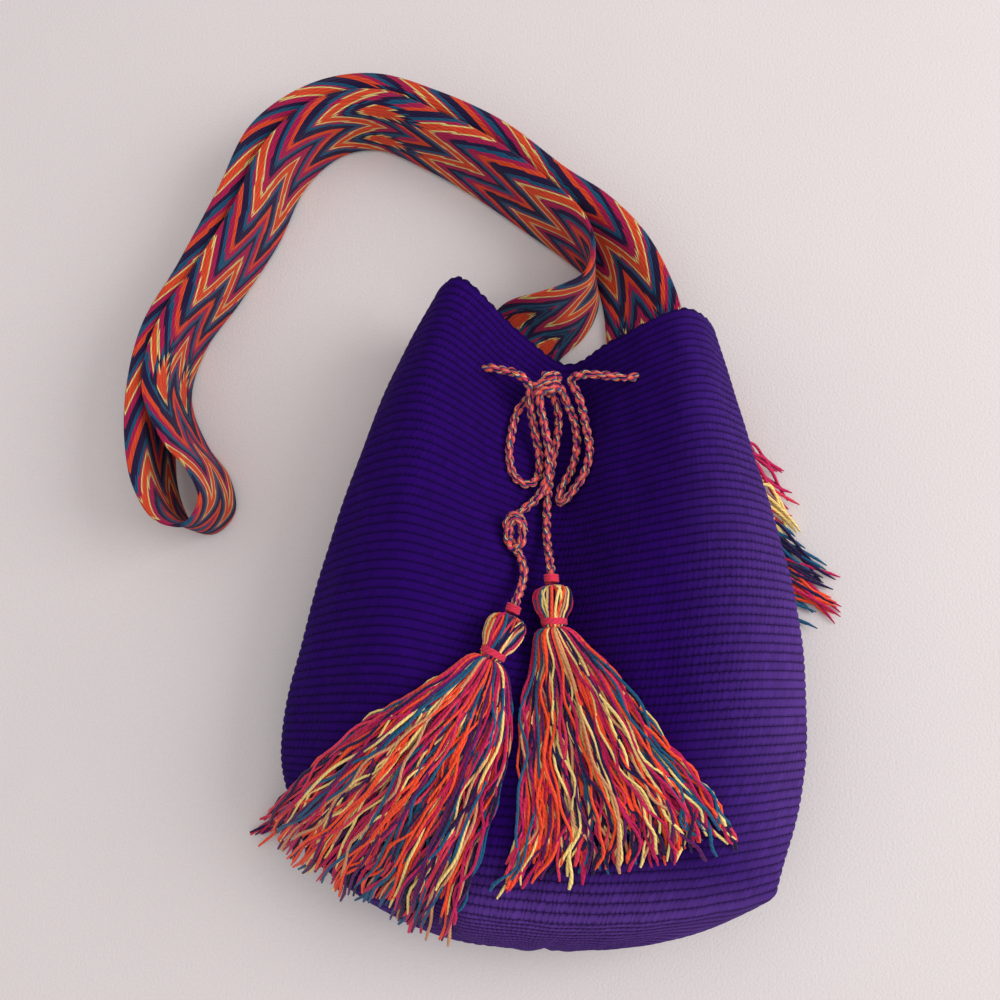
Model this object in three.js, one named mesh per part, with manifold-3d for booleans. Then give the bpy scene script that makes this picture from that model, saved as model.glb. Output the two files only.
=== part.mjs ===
// A crocheted mochila shoulder bag, lying on its back on a flat surface.
//
// Millimetres, +Z up. +Y runs from the base to the mouth, and the surface under the bag is z = 0.
// The wall and base are one crocheted piece. A plaited strap is sewn to both sides, and a
// drawstring with a tassel on each end runs round the mouth and is tied in a bow.

import * as THREE from 'three';
import Module from 'manifold-3d';
import * as BufferGeometryUtils from 'three/addons/utils/BufferGeometryUtils.js';

// ---- Driving dimensions --------------------------------------------------------------------

const WALL = 3.5; // thickness of the crocheted fabric
const CLEARANCE = 0.4; // gap left between touching pieces
const WALL_RINGS = 18; // rings of facets from the rim to the base
const AROUND = 60; // facets round each ring
const BASE_CENTRE = new THREE.Vector3(30, -187, 23);
const BASE_SHARES = [0.12, 0.4, 0.66, 0.86]; // rings of the base, as shares of its radius
const BASE_SQUARENESS = 2.6; // how sharply the base turns in from the wall

const BAND_WIDTH = 35; // the strap
const BAND_THICKNESS = 2.6;
const BAND_LIP = 7; // part of the width that folds over at the crest
const BAND_FOLD = 10; // length over which that fold turns
const BAND_ACROSS = 6; // facets across the strap
const BAND_STEPS = 88; // facets along the strap

const CORD_DIAMETER = 3.6; // the drawstring
const CORD_SIDES = 8;
const CORD_STEPS = 78;
const EYELET_DIAMETER = 4.8;

const SEAM_DIAMETER = 1.2; // the sewing yarn
const SEAM_OFFSET = 0.022; // how far beside the strap's edge it runs, as a share round the bag
const SEAM_STEPS = 24;
const SEWN_GAP = 0.8; // room under the sewn strap for the bag's facets
const SEWN_COUNT = 4; // rows of the strap that the sewing yarn holds

const NECK_RADIUS = 4; // the tassels
const HEAD_RADIUS = 7.5;
const TASSEL_SIDES = 16;
const SKIRT_RINGS = 9;
const SKIRT_THICKNESS = 9;
const WINDING_GAP = 0.9; // from the bundle to the middle of the tie
const HEAD_GAP = 2; // room under the heads for the bag's facets
const SKIRT_GAP = 3; // room under the skirt for the bag's facets
const DRAPE_SLOPE = 1.1; // how steeply the yarns fall from the bag's side
// The head's outline: share of its length, and radius.
const HEAD_PROFILE = [[0, 2.6], [0.1, 5], [0.26, 7], [0.45, 7.5], [0.64, 6.4], [0.8, 4], [1, 4]];

// ---- The bag: guide lines from the rim to the base -----------------------------------------
//
// Each line holds one point for each of six stations down the wall. Going round the bag, the lines
// are its left side, the left ridge, the flank and bottom of the groove that the drawstring pulls
// in, its other flank, the right ridge, the right side, and three along the underside.

const GUIDES = [
  [[-14, 77, 30], [-37, 32, 30], [-56, -20, 29], [-70, -70, 28], [-77, -115, 27], [-66, -151, 24]],
  [[-2, 80, 48], [-15, 35, 55], [-22, -16, 58], [-27, -66, 59], [-30, -116, 57], [-26, -162, 44]],
  [[22, 60, 33], [14, 21, 34], [11, -26, 41], [7, -73, 51], [4, -120, 56], [2, -170, 49]],
  [[41, 50, 18], [37, 12, 21], [35, -31, 27], [33, -77, 38], [32, -122, 51], [30, -173, 49]],
  [[60, 55, 34], [62, 14, 39], [66, -29, 47], [69, -76, 54], [68, -122, 57], [64, -173, 48]],
  [[90, 64, 46], [96, 20, 53], [101, -25, 57], [104, -73, 58], [103, -120, 57], [98, -169, 44]],
  [[103, 60, 26], [114, 18, 27], [126, -27, 28], [133, -73, 28], [132, -119, 27], [120, -165, 25]],
  [[86, 56, 10], [88, 18, 7], [88, -28, 0], [92, -73, 0], [92, -119, 0], [88, -163, 0]],
  [[36, 52, 6.5], [34, 14, 4], [32, -30, 0], [30, -76, 0], [28, -121, 0], [28, -164, 0]],
  [[0, 66, 12], [-8, 24, 8], [-18, -24, 0], [-30, -72, 0], [-36, -117, 0], [-34, -153, 0]],
];

// ---- The strap: where its lower edge runs once it is clear of the bag ----------------------
//
// Each row is x, y and z of the lower edge, the lean of the face above it, and the lean of the lip
// past the crest, in degrees from lying flat with the crest to the right of the way the strap runs.

const BAND_ROUTE = [
  [78, 27, 1.7, 9, 9], [66, 43, 1.7, 7, 6], [59, 61, 1.7, 14, 6], [57, 79, 1.7, 34, 8],
  [53, 94.5, 1.7, 50, 10], [44, 108, 1.7, 60, 14], [29.5, 120.8, 1.7, 66, 14],
  [3.7, 142.8, 1.7, 66, 14], [-21.1, 158, 1.7, 70, 14], [-46, 168.8, 1.7, 75, 16],
  [-67.1, 166.9, 1.7, 77, 16], [-87.1, 153.4, 1.7, 76, 16], [-100.3, 124.5, 1.7, 76, 18],
  [-118.1, 91.1, 1.7, 79, 20], [-132.9, 66, 1.7, 81, 22], [-138.5, 43, 1.7, 83, 24],
  [-139, 19, 1.7, 84, 34], [-136, -1, 1.7, 86, 50], [-129, -14, 1.7, 88, 66],
  [-119, -18, 1.7, 91, 78], [-110, -9, 1.7, 95, 96], [-113, 7, 1.7, 97, 116],
  [-124, 22, 1.7, 97, 134], [-132.5, 44, 1.7, 97, 146], [-126.4, 68, 1.7, 98, 150],
  [-111.7, 89.1, 1.7, 100, 152], [-94.3, 116.8, 1.7, 102, 154], [-81.1, 145.4, 1.7, 102, 154],
  [-64.1, 159.9, 1.7, 102, 154], [-46, 161.8, 1.7, 104, 154], [-23.6, 151, 1.7, 108, 154],
  [-0.8, 136.3, 1.7, 111, 154], [25.2, 116.2, 1.7, 110, 146], [39.8, 104.7, 1.7, 106, 130],
  [49.7, 95, 1.7, 96, 104], [54, 85.1, 1.7, 84, 78], [51.8, 75, 1.7, 70, 56],
  [45.9, 66, 1.7, 58, 44], [37, 58, 1.7, 30, 22], [27, 44, 1.7, 6, 5], [15, 30, 1.7, 5, 4],
];

// Where the strap's sewn rows meet the wall, from its cut end to where it comes free. Each row is the
// place round the bag and the station of its lower edge, then of its crest. The end is cut on a slant.

const SEWN_ROWS = {
  right: [
    [0.674, 0.44, 0.622, 0.2],
    [0.68, 0.37, 0.622, 0.155],
    [0.688, 0.3, 0.626, 0.115],
    [0.697, 0.23, 0.634, 0.08],
    [0.705, 0.17, 0.645, 0.05],
  ],
  left: [
    [0.928, 0.44, 0.968, 0.29],
    [0.92, 0.38, 0.966, 0.23],
    [0.912, 0.31, 0.962, 0.17],
    [0.9, 0.25, 0.955, 0.12],
    [0.885, 0.2, 0.935, 0.07],
  ],
};

// ---- The drawstring ------------------------------------------------------------------------
//
// The route starts inside the head of the right tassel, climbs to the bow, goes in at the left
// eyelet, round the inside of the mouth and out at the right eyelet, back to the bow, and down to
// the left tassel.

const CORD_ROUTE = [
  [35, -45.3, 40.2], [34.7, -40.8, 40.2], [33.7, -34, 35.5], [32.5, -26, 30.5], [32.5, -13, 28], [33.5, -2, 26.5], [35, 8, 26],
  [37, 18, 27], [37.5, 26, 30], [35, 33, 34], [30, 35.5, 36], [25.5, 32, 34.5], [21, 27, 33],
  [18.5, 18, 33.5], [17.5, 8, 34.5], [19, 0, 34], [24, -4, 31.5], [28.5, -1, 28.5], [29.5, 8, 28.5],
  [28, 17, 31], [26.5, 27, 37], [26, 36, 42], [21.5, 40, 43], [15, 42, 42.5], [10.5, 43, 42.5],
  [7, 43.5, 39.5], [4, 46, 33], [-6, 52, 23], [-1, 54, 17], [16, 50, 14], [38, 42, 12], [62, 44, 14],
  [82, 49, 17], [88, 48, 28], [78, 42, 36], [71.5, 38.5, 40], [66, 37, 43], [58, 38, 43.5],
  [48, 39, 42.5], [43.5, 38, 39.5], [46.5, 31, 36], [49, 20, 32.5], [50.5, 10, 33], [48.5, 1, 32.5],
  [43, -7, 30], [38, -11.5, 28.5], [38.5, -5, 27.5], [42.5, 2, 28], [45, 11, 29], [44.5, 21, 30.5],
  [41.5, 29, 33.5], [37.5, 36.5, 38.5], [32.5, 37, 42], [30.5, 30, 40], [32, 20, 35], [33.5, 10, 31.5],
  [33, 0, 31], [29, -9, 30.5], [23, -15, 33.5], [18.5, -21, 37.5], [18.5, -28, 38.5], [22, -34, 38],
  [24, -41, 40], [23, -48.5, 45.5], [21.5, -53.6, 50], [19.9, -57.8, 50],
];

// The short stretches of that route that pass through the wall.

const EYELET_RUNS = [
  [[13, 42.5, 42.5], [10.5, 43, 42.5], [7, 43.5, 39.5], [4, 46, 33]],
  [[78, 42, 36], [71.5, 38.5, 40], [66, 37, 43], [62, 37.5, 43.5]],
];

// ---- The tassels ---------------------------------------------------------------------------
//
// The head runs from the cord to the neck. The skirt opens between two edges, given from the neck
// to the yarn ends.

const TASSELS = {
  right: {
    head: [[35, -46.5], [35.5, -53], [36, -63.5]],
    nearEdge: [[32, -64], [26, -84], [24, -112], [24, -140], [15, -160]],
    farEdge: [[40, -64], [58, -80], [77, -108], [94, -128], [102, -144]],
    reach: 8,
  },
  left: {
    head: [[19.5, -59], [17, -66], [12.3, -76]],
    nearEdge: [[8.3, -75.2], [-14, -85], [-42, -103], [-68, -122], [-92, -140]],
    farEdge: [[15.5, -78.6], [20, -98], [13, -130], [3, -158], [-8, -184]],
    reach: 16,
  },
};

// The strap's yarns run on past each sewn end and lie loose: their tips, from the crest's side.

const YARN_TIPS = {
  right: [[131, 5, 2], [134, -20, 2], [140, -36, 2], [151, -50, 2], [141, -57, 2]],
  left: [[-46, -20, 2], [-49, -32, 2], [-49, -44, 2], [-46, -54, 2], [-38, -60, 2]],
};

// ---- Shared helpers ------------------------------------------------------------------------

const UP = new THREE.Vector3(0, 0, 1);
const vector = ([x, y, z = 0]) => new THREE.Vector3(x, y, z);
const curveThrough = (points) => new THREE.CatmullRomCurve3(points.map(vector));

/** A closed body through rings of equal, even length, with a strip of facets over each end. */
function loft(rings) {
  const count = rings[0].length;
  const positions = rings.flat().flatMap((point) => point.toArray());
  const lastRing = (rings.length - 1) * count;
  const index = [];
  for (let i = 0; i < count; i += 1) {
    const next = (i + 1) % count;
    for (let ring = 0; ring < lastRing; ring += count) {
      index.push(ring + i, ring + next, ring + count + i);
      index.push(ring + next, ring + count + next, ring + count + i);
    }
  }
  for (let i = 0; i < count / 2 - 1; i += 1) {
    const across = count - 1 - i;
    index.push(i, across, i + 1, i + 1, across, across - 1);
    index.push(lastRing + i, lastRing + i + 1, lastRing + across);
    index.push(lastRing + i + 1, lastRing + across - 1, lastRing + across);
  }
  const geometry = new THREE.BufferGeometry();
  geometry.setAttribute('position', new THREE.Float32BufferAttribute(positions, 3));
  geometry.setIndex(volumeOf(positions, index) < 0 ? index.reverse() : index);
  geometry.computeVertexNormals();
  return geometry;
}

/** The signed volume that a list of triangles encloses. */
function volumeOf(positions, index) {
  const corner = (i) => new THREE.Vector3().fromArray(positions, 3 * index[i]);
  let volume = 0;
  for (let i = 0; i < index.length; i += 3) {
    volume += corner(i).dot(corner(i + 1).cross(corner(i + 2))) / 6;
  }
  return volume;
}

/** A closed geometry as a manifold solid, for cutting. */
function solidOf(geometry) {
  const bare = geometry.clone();
  bare.deleteAttribute('normal');
  bare.deleteAttribute('uv');
  const merged = BufferGeometryUtils.mergeVertices(bare);
  const vertProperties = new Float32Array(merged.attributes.position.array);
  const triVerts = new Uint32Array(merged.index.array);
  return new wasm.Manifold(new wasm.Mesh({ numProp: 3, vertProperties, triVerts }));
}

/** A manifold solid as a geometry again. */
function geometryOf(solid) {
  const mesh = solid.getMesh();
  const geometry = new THREE.BufferGeometry();
  geometry.setAttribute('position', new THREE.BufferAttribute(new Float32Array(mesh.vertProperties), 3));
  geometry.setIndex(new THREE.BufferAttribute(new Uint32Array(mesh.triVerts), 1));
  geometry.computeVertexNormals();
  return geometry;
}

// ---- The bag's surface ---------------------------------------------------------------------

const guideCurves = GUIDES.map(curveThrough);

/** The closed outline of the wall at a station, where 0 is the rim and 1 the base. */
function section(station) {
  const points = guideCurves.map((curve) => curve.getPoint(station));
  return new THREE.CatmullRomCurve3(points, true, 'centripetal');
}

/** The same point, lifted onto the surface under the bag if it would reach below it. */
function rested(point) {
  point.z = Math.max(point.z, 0);
  return point;
}

/** A point of the wall's outer face. Around runs from the left side, 0, over the groove, 0.3. */
function wallPoint(around, station) {
  return rested(section(station).getPoint(THREE.MathUtils.euclideanModulo(around, 1)));
}

/** The outward direction of the wall at the same place. */
function wallNormal(around, station) {
  const step = 0.01;
  const across = wallPoint(around + step, station).sub(wallPoint(around - step, station));
  const down = wallPoint(around, station + step).sub(wallPoint(around, station - step));
  return down.cross(across).normalize();
}

/** The outer face as rings, from the middle of the base to the rim. */
function outerRings() {
  const wall = [];
  for (let ring = WALL_RINGS; ring >= 0; ring -= 1) {
    wall.push(section(ring / WALL_RINGS).getSpacedPoints(AROUND).slice(0, AROUND).map(rested));
  }
  const base = BASE_SHARES.map((share) => wall[0].map((edge) => {
    const point = BASE_CENTRE.clone().lerp(edge, share);
    point.y = THREE.MathUtils.lerp(BASE_CENTRE.y, edge.y, share ** BASE_SQUARENESS);
    return rested(point);
  }));
  return [...base, ...wall];
}

/** Rings moved inward by the thickness of the fabric. */
function innerRings(rings) {
  return rings.map((ring, r) => ring.map((point, i) => {
    const before = rings[Math.max(r - 1, 0)][i];
    const after = rings[Math.min(r + 1, rings.length - 1)][i];
    const along = after.clone().sub(before);
    const round = ring[(i + 1) % AROUND].clone().sub(ring[(i + AROUND - 1) % AROUND]);
    return point.clone().addScaledVector(along.cross(round).normalize(), WALL);
  }));
}

/** A tube of the given diameter along a curve. */
function tube(curve, diameter, steps) {
  const outline = new THREE.Shape().absarc(0, 0, diameter / 2, 0, 2 * Math.PI);
  const corners = new THREE.Shape(outline.getPoints(CORD_SIDES / 2).slice(0, -1));
  const options = { steps, bevelEnabled: false, extrudePath: curve, curveSegments: CORD_SIDES };
  return new THREE.ExtrudeGeometry(corners, options);
}

/** The crocheted wall and base with the two eyelets that the drawstring uses. */
function bagGeometry() {
  const outer = outerRings();
  const inner = innerRings(outer).reverse();
  const shell = solidOf(loft([...outer, ...inner]));
  const cuts = EYELET_RUNS.map((run) => solidOf(tube(curveThrough(run), EYELET_DIAMETER, 4)));
  return geometryOf(cuts.reduce((left, cut) => left.subtract(cut), shell));
}

// ---- The strap -----------------------------------------------------------------------------

const bandShares = Array.from({ length: BAND_ACROSS + 1 }, (_, i) => i / BAND_ACROSS);

/** Points across the strap's middle surface, rising from its lower edge to the crest and lip. */
function bandRow(foot, heading, lean, lip) {
  const side = new THREE.Vector3(heading.y, -heading.x, 0).normalize();
  const crest = BAND_WIDTH - BAND_LIP;
  const steps = 4 * BAND_ACROSS;
  const row = [foot.clone()];
  const point = foot.clone();
  for (let i = 1; i <= steps; i += 1) {
    const reached = ((i - 0.5) / steps) * BAND_WIDTH;
    const turned = THREE.MathUtils.smoothstep(reached, crest - BAND_FOLD / 2, crest + BAND_FOLD / 2);
    const angle = THREE.MathUtils.degToRad(THREE.MathUtils.lerp(lean, lip, turned));
    point.addScaledVector(side, (Math.cos(angle) * BAND_WIDTH) / steps);
    point.addScaledVector(UP, (Math.sin(angle) * BAND_WIDTH) / steps);
    if (i % 4 === 0) row.push(point.clone());
  }
  return row;
}

/** Rows of the strap where it lies free, from the bag's right-hand side round to its left. */
function freeRows() {
  const feet = BAND_ROUTE.map(([x, y, z]) => new THREE.Vector3(x, y, z));
  return BAND_ROUTE.map(([, , , lean, lip], i) => {
    const heading = feet[Math.min(i + 1, feet.length - 1)].clone().sub(feet[Math.max(i - 1, 0)]);
    return bandRow(feet[i], heading, lean, lip);
  });
}

/** A row of the strap sewn against the wall, between two places round the bag. */
function sewnRow(footAround, footStation, crestAround, crestStation) {
  const standOff = BAND_THICKNESS / 2 + SEWN_GAP;
  return bandShares.map((share) => {
    const around = THREE.MathUtils.lerp(footAround, crestAround, share);
    const station = THREE.MathUtils.lerp(footStation, crestStation, share);
    const point = wallPoint(around, station).addScaledVector(wallNormal(around, station), standOff);
    point.z = Math.max(point.z, BAND_THICKNESS / 2 + 0.2);
    return point;
  });
}

/** Rows of the loose yarns beyond a sewn end, from the tips back to the strap. */
function yarnRows(side, end) {
  const tips = curveThrough(YARN_TIPS[side]);
  const tipRow = bandShares.map((share) => tips.getPoint(1 - share));
  return [0, 0.35, 0.7].map((back) => tipRow.map((tip, i) => {
    const point = tip.clone().lerp(end[i], back);
    point.z = THREE.MathUtils.lerp(tip.z, end[i].z, back ** 2);
    return point;
  }));
}

/** The sewn rows of one end, from the cut end to where the strap comes free, with its yarns. */
function endRows(side) {
  const sewn = SEWN_ROWS[side].map((row) => sewnRow(...row));
  return [...yarnRows(side, sewn[0]), ...sewn];
}

/** The whole strap, lofted along the lines that join its rows. */
function bandGeometry() {
  const rows = [...endRows('right'), ...freeRows(), ...endRows('left').reverse()];
  const lines = bandShares.map((_, k) => {
    const points = rows.map((row) => row[k]);
    return new THREE.CatmullRomCurve3(points, false, 'centripetal');
  });
  const grid = [];
  for (let i = 0; i <= BAND_STEPS; i += 1) {
    grid.push(lines.map((line) => line.getPoint(i / BAND_STEPS)));
  }
  return loft(grid.map((row, i) => bandRing(grid, row, i)));
}

/** The strap's outline across one row: its upper face out to the crest, and its lower one back. */
function bandRing(grid, row, i) {
  const before = grid[Math.max(i - 1, 0)];
  const after = grid[Math.min(i + 1, grid.length - 1)];
  const faces = [[], []];
  row.forEach((point, k) => {
    const along = after[k].clone().sub(before[k]);
    const across = row[Math.min(k + 1, row.length - 1)].clone().sub(row[Math.max(k - 1, 0)]);
    const half = across.cross(along).normalize().multiplyScalar(BAND_THICKNESS / 2);
    faces[0].push(point.clone().add(half));
    faces[1].unshift(point.clone().sub(half));
  });
  return faces.flat().map(rested);
}

/** The yarn that sews the strap's crest edge to the wall. */
function seamGeometry(side) {
  const beside = side === 'right' ? -SEAM_OFFSET : SEAM_OFFSET;
  const points = SEWN_ROWS[side].slice(0, SEWN_COUNT).map(([, , crest, station]) => {
    const point = wallPoint(crest + beside, station);
    return point.addScaledVector(wallNormal(crest + beside, station), SEAM_DIAMETER / 2 + CLEARANCE);
  });
  return tube(new THREE.CatmullRomCurve3(points), SEAM_DIAMETER, SEAM_STEPS);
}

// ---- The tassels' shape --------------------------------------------------------------------

const caster = new THREE.Raycaster();

/** The height of the bag's upper face, or of the surface under it, at a place. */
function heightAt(x, y) {
  caster.set(new THREE.Vector3(x, y, 200), new THREE.Vector3(0, 0, -1));
  const hit = caster.intersectObject(bagProxy)[0];
  return hit ? hit.point.z : 0;
}

/** The height that yarn lying over the bag keeps, which bridges the drop at its sides. */
function drapeAt(x, y, reach) {
  let height = heightAt(x, y);
  for (let turn = 0; turn < 2 * Math.PI; turn += Math.PI / 6) {
    for (const away of [reach / 2, reach]) {
      const near = heightAt(x + away * Math.cos(turn), y + away * Math.sin(turn));
      height = Math.max(height, near - DRAPE_SLOPE * away);
    }
  }
  return height;
}

/** A bundle of yarn: a round head, a tied neck, and a skirt that lies over the bag. */
function tasselGeometry({ head, nearEdge, farEdge, reach }) {
  const angles = Array.from({ length: TASSEL_SIDES }, (_, i) => (2 * Math.PI * i) / TASSEL_SIDES);
  const headLine = curveThrough(head);
  const rings = HEAD_PROFILE.map(([share, radius]) => {
    const centre = headLine.getPoint(share);
    const heading = headLine.getTangent(share);
    const side = new THREE.Vector3(-heading.y, heading.x, 0);
    centre.z = drapeAt(centre.x, centre.y, HEAD_RADIUS) + HEAD_RADIUS + HEAD_GAP;
    return angles.map((angle) => centre.clone()
      .addScaledVector(side, -radius * Math.cos(angle))
      .addScaledVector(UP, radius * Math.sin(angle)));
  });
  const near = curveThrough(nearEdge);
  const far = curveThrough(farEdge);
  for (let i = 1; i <= SKIRT_RINGS; i += 1) {
    const share = i / SKIRT_RINGS;
    rings.push(angles.map((angle) => {
      const point = near.getPoint(share).lerp(far.getPoint(share), 0.5 - Math.cos(angle) / 2);
      const low = drapeAt(point.x, point.y, reach) + SKIRT_GAP;
      point.z = low + ((1 + Math.sin(angle)) / 2) * SKIRT_THICKNESS * (1 - 0.5 * share);
      return point;
    }));
  }
  return loft(rings);
}

/** Yarn wound in a ring round the neck, or, a little before it, round the cord above the head. */
function windingGeometry({ head }, share, before, inner, thickness, length) {
  const line = curveThrough(head);
  const centre = line.getPoint(share);
  centre.z = drapeAt(centre.x, centre.y, HEAD_RADIUS) + HEAD_RADIUS + HEAD_GAP;
  centre.addScaledVector(line.getTangent(share).setZ(0).normalize(), -before);
  const profile = [[inner, -length / 2], [inner + thickness, -length / 2],
    [inner + thickness, length / 2], [inner, length / 2], [inner, -length / 2]];
  const ring = new THREE.LatheGeometry(profile.map(([x, y]) => new THREE.Vector2(x, y)), 20);
  const heading = line.getTangent(share).setZ(0).normalize();
  ring.applyQuaternion(new THREE.Quaternion().setFromUnitVectors(new THREE.Vector3(0, 1, 0), heading));
  ring.translate(centre.x, centre.y, centre.z);
  return ring;
}

// ---- The object ----------------------------------------------------------------------------

const wasm = await Module();
wasm.setup();

const bag = new THREE.Group();

/** Adds a named piece in its colour. */
function add(name, geometry, color, roughness = 0.9) {
  const piece = new THREE.Mesh(geometry, new THREE.MeshStandardMaterial({ color, roughness, metalness: 0 }));
  piece.name = name;
  bag.add(piece);
  return piece;
}

const VIOLET = 0x3a1178;
const ORANGE = 0xf0562b;
const PINK = 0xd8577a;
const CRIMSON = 0xc02860;

const bagProxy = new THREE.Mesh(loft(outerRings()), new THREE.MeshStandardMaterial({ side: THREE.DoubleSide }));
add('bag_body', bagGeometry(), VIOLET);
add('shoulder_strap', bandGeometry(), ORANGE);
add('drawstring', tube(curveThrough(CORD_ROUTE), CORD_DIAMETER, CORD_STEPS), PINK);
for (const side of ['right', 'left']) {
  add(`strap_seam_${side}`, seamGeometry(side), CRIMSON);
  add(`tassel_${side}`, tasselGeometry(TASSELS[side]), PINK);
  add(`tassel_tie_${side}`, windingGeometry(TASSELS[side], 0.9, 0, NECK_RADIUS + WINDING_GAP, 2, 2.4), CRIMSON);
  add(`tassel_wrap_${side}`, windingGeometry(TASSELS[side], 0, 2.6, CORD_DIAMETER / 2 + WINDING_GAP, 1.2, 4), CRIMSON);
}

export default bag;
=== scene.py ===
"""A crocheted mochila bag that lies on its back: its fabric, strap, drawstring and tassels.

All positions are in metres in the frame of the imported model: +Y runs from the base to the mouth, +Z is
up, and the surface under the bag is z = 0. Tables that are easier to read in millimetres are turned
into metres where they are stated.
"""

import logging
import math
from dataclasses import dataclass, field
from enum import Enum

import bpy
import numpy as np
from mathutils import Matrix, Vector
from mathutils.bvhtree import BVHTree


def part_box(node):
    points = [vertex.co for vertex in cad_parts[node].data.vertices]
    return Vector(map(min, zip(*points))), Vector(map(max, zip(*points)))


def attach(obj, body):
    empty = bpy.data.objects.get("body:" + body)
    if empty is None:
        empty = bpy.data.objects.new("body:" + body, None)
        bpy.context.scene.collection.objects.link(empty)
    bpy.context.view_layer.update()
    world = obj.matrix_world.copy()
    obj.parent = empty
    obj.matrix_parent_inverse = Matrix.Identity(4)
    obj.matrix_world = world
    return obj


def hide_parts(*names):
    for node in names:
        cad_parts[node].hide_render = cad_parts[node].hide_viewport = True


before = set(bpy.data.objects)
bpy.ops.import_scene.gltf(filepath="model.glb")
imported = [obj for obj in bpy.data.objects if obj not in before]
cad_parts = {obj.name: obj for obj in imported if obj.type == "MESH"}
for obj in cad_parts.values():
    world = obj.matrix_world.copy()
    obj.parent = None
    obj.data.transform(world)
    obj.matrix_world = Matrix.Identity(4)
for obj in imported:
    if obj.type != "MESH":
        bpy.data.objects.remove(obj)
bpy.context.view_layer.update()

LOG = logging.getLogger("mochila")
MM = 0.001
BODY = "root"
SIDES = ("right", "left")

# ---- The construction lines that the solid parts share -------------------------------------------
#
# Guide lines of the wall, each with a point at six stations from the rim to the base. Going round, they
# are the left side, the left ridge, the groove's flank, bottom and other flank, the right ridge, the
# right side, and three along the underside.

GUIDES = MM * np.array([
    [[-14, 77, 30], [-37, 32, 30], [-56, -20, 29], [-70, -70, 28], [-77, -115, 27], [-66, -151, 24]],
    [[-2, 80, 48], [-15, 35, 55], [-22, -16, 58], [-27, -66, 59], [-30, -116, 57], [-26, -162, 44]],
    [[22, 60, 33], [14, 21, 34], [11, -26, 41], [7, -73, 51], [4, -120, 56], [2, -170, 49]],
    [[41, 50, 18], [37, 12, 21], [35, -31, 27], [33, -77, 38], [32, -122, 51], [30, -173, 49]],
    [[60, 55, 34], [62, 14, 39], [66, -29, 47], [69, -76, 54], [68, -122, 57], [64, -173, 48]],
    [[90, 64, 46], [96, 20, 53], [101, -25, 57], [104, -73, 58], [103, -120, 57], [98, -169, 44]],
    [[103, 60, 26], [114, 18, 27], [126, -27, 28], [133, -73, 28], [132, -119, 27], [120, -165, 25]],
    [[86, 56, 10], [88, 18, 7], [88, -28, 0], [92, -73, 0], [92, -119, 0], [88, -163, 0]],
    [[36, 52, 6.5], [34, 14, 4], [32, -30, 0], [30, -76, 0], [28, -121, 0], [28, -164, 0]],
    [[0, 66, 12], [-8, 24, 8], [-18, -24, 0], [-30, -72, 0], [-36, -117, 0], [-34, -153, 0]],
])
BASE_CENTRE = MM * np.array([30, -187, 23])

# Where the strap's lower edge runs once it is clear of the bag: x, y and z in millimetres, the lean of
# the face above it, and the lean of the lip past the crest, in degrees.

BAND_ROUTE = np.array([
    [78, 27, 1.7, 9, 9], [66, 43, 1.7, 7, 6], [59, 61, 1.7, 14, 6], [57, 79, 1.7, 34, 8],
    [53, 94.5, 1.7, 50, 10], [44, 108, 1.7, 60, 14], [29.5, 120.8, 1.7, 66, 14],
    [3.7, 142.8, 1.7, 66, 14], [-21.1, 158, 1.7, 70, 14], [-46, 168.8, 1.7, 75, 16],
    [-67.1, 166.9, 1.7, 77, 16], [-87.1, 153.4, 1.7, 76, 16], [-100.3, 124.5, 1.7, 76, 18],
    [-118.1, 91.1, 1.7, 79, 20], [-132.9, 66, 1.7, 81, 22], [-138.5, 43, 1.7, 83, 24],
    [-139, 19, 1.7, 84, 34], [-136, -1, 1.7, 86, 50], [-129, -14, 1.7, 88, 66],
    [-119, -18, 1.7, 91, 78], [-110, -9, 1.7, 95, 96], [-113, 7, 1.7, 97, 116],
    [-124, 22, 1.7, 97, 134], [-132.5, 44, 1.7, 97, 146], [-126.4, 68, 1.7, 98, 150],
    [-111.7, 89.1, 1.7, 100, 152], [-94.3, 116.8, 1.7, 102, 154], [-81.1, 145.4, 1.7, 102, 154],
    [-64.1, 159.9, 1.7, 102, 154], [-46, 161.8, 1.7, 104, 154], [-23.6, 151, 1.7, 108, 154],
    [-0.8, 136.3, 1.7, 111, 154], [25.2, 116.2, 1.7, 110, 146], [39.8, 104.7, 1.7, 106, 130],
    [49.7, 95, 1.7, 96, 104], [54, 85.1, 1.7, 84, 78], [51.8, 75, 1.7, 70, 56],
    [45.9, 66, 1.7, 58, 44], [37, 58, 1.7, 30, 22], [27, 44, 1.7, 6, 5], [15, 30, 1.7, 5, 4],
])

# Where the strap's sewn rows meet the wall, from its cut end to where it comes free: the place round
# the bag and the station of its lower edge, then of its crest.

SEWN_ROWS = {
    "right": [
        [0.674, 0.44, 0.622, 0.2], [0.68, 0.37, 0.622, 0.155], [0.688, 0.3, 0.626, 0.115],
        [0.697, 0.23, 0.634, 0.08], [0.705, 0.17, 0.645, 0.05],
    ],
    "left": [
        [0.928, 0.44, 0.968, 0.29], [0.92, 0.38, 0.966, 0.23], [0.912, 0.31, 0.962, 0.17],
        [0.9, 0.25, 0.955, 0.12], [0.885, 0.2, 0.935, 0.07],
    ],
}

# The drawstring, from inside the right tassel's wrap up to the bow, in at the left eyelet, round the
# inside of the mouth, out at the right eyelet, and by the bow down to the left tassel.

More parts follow.
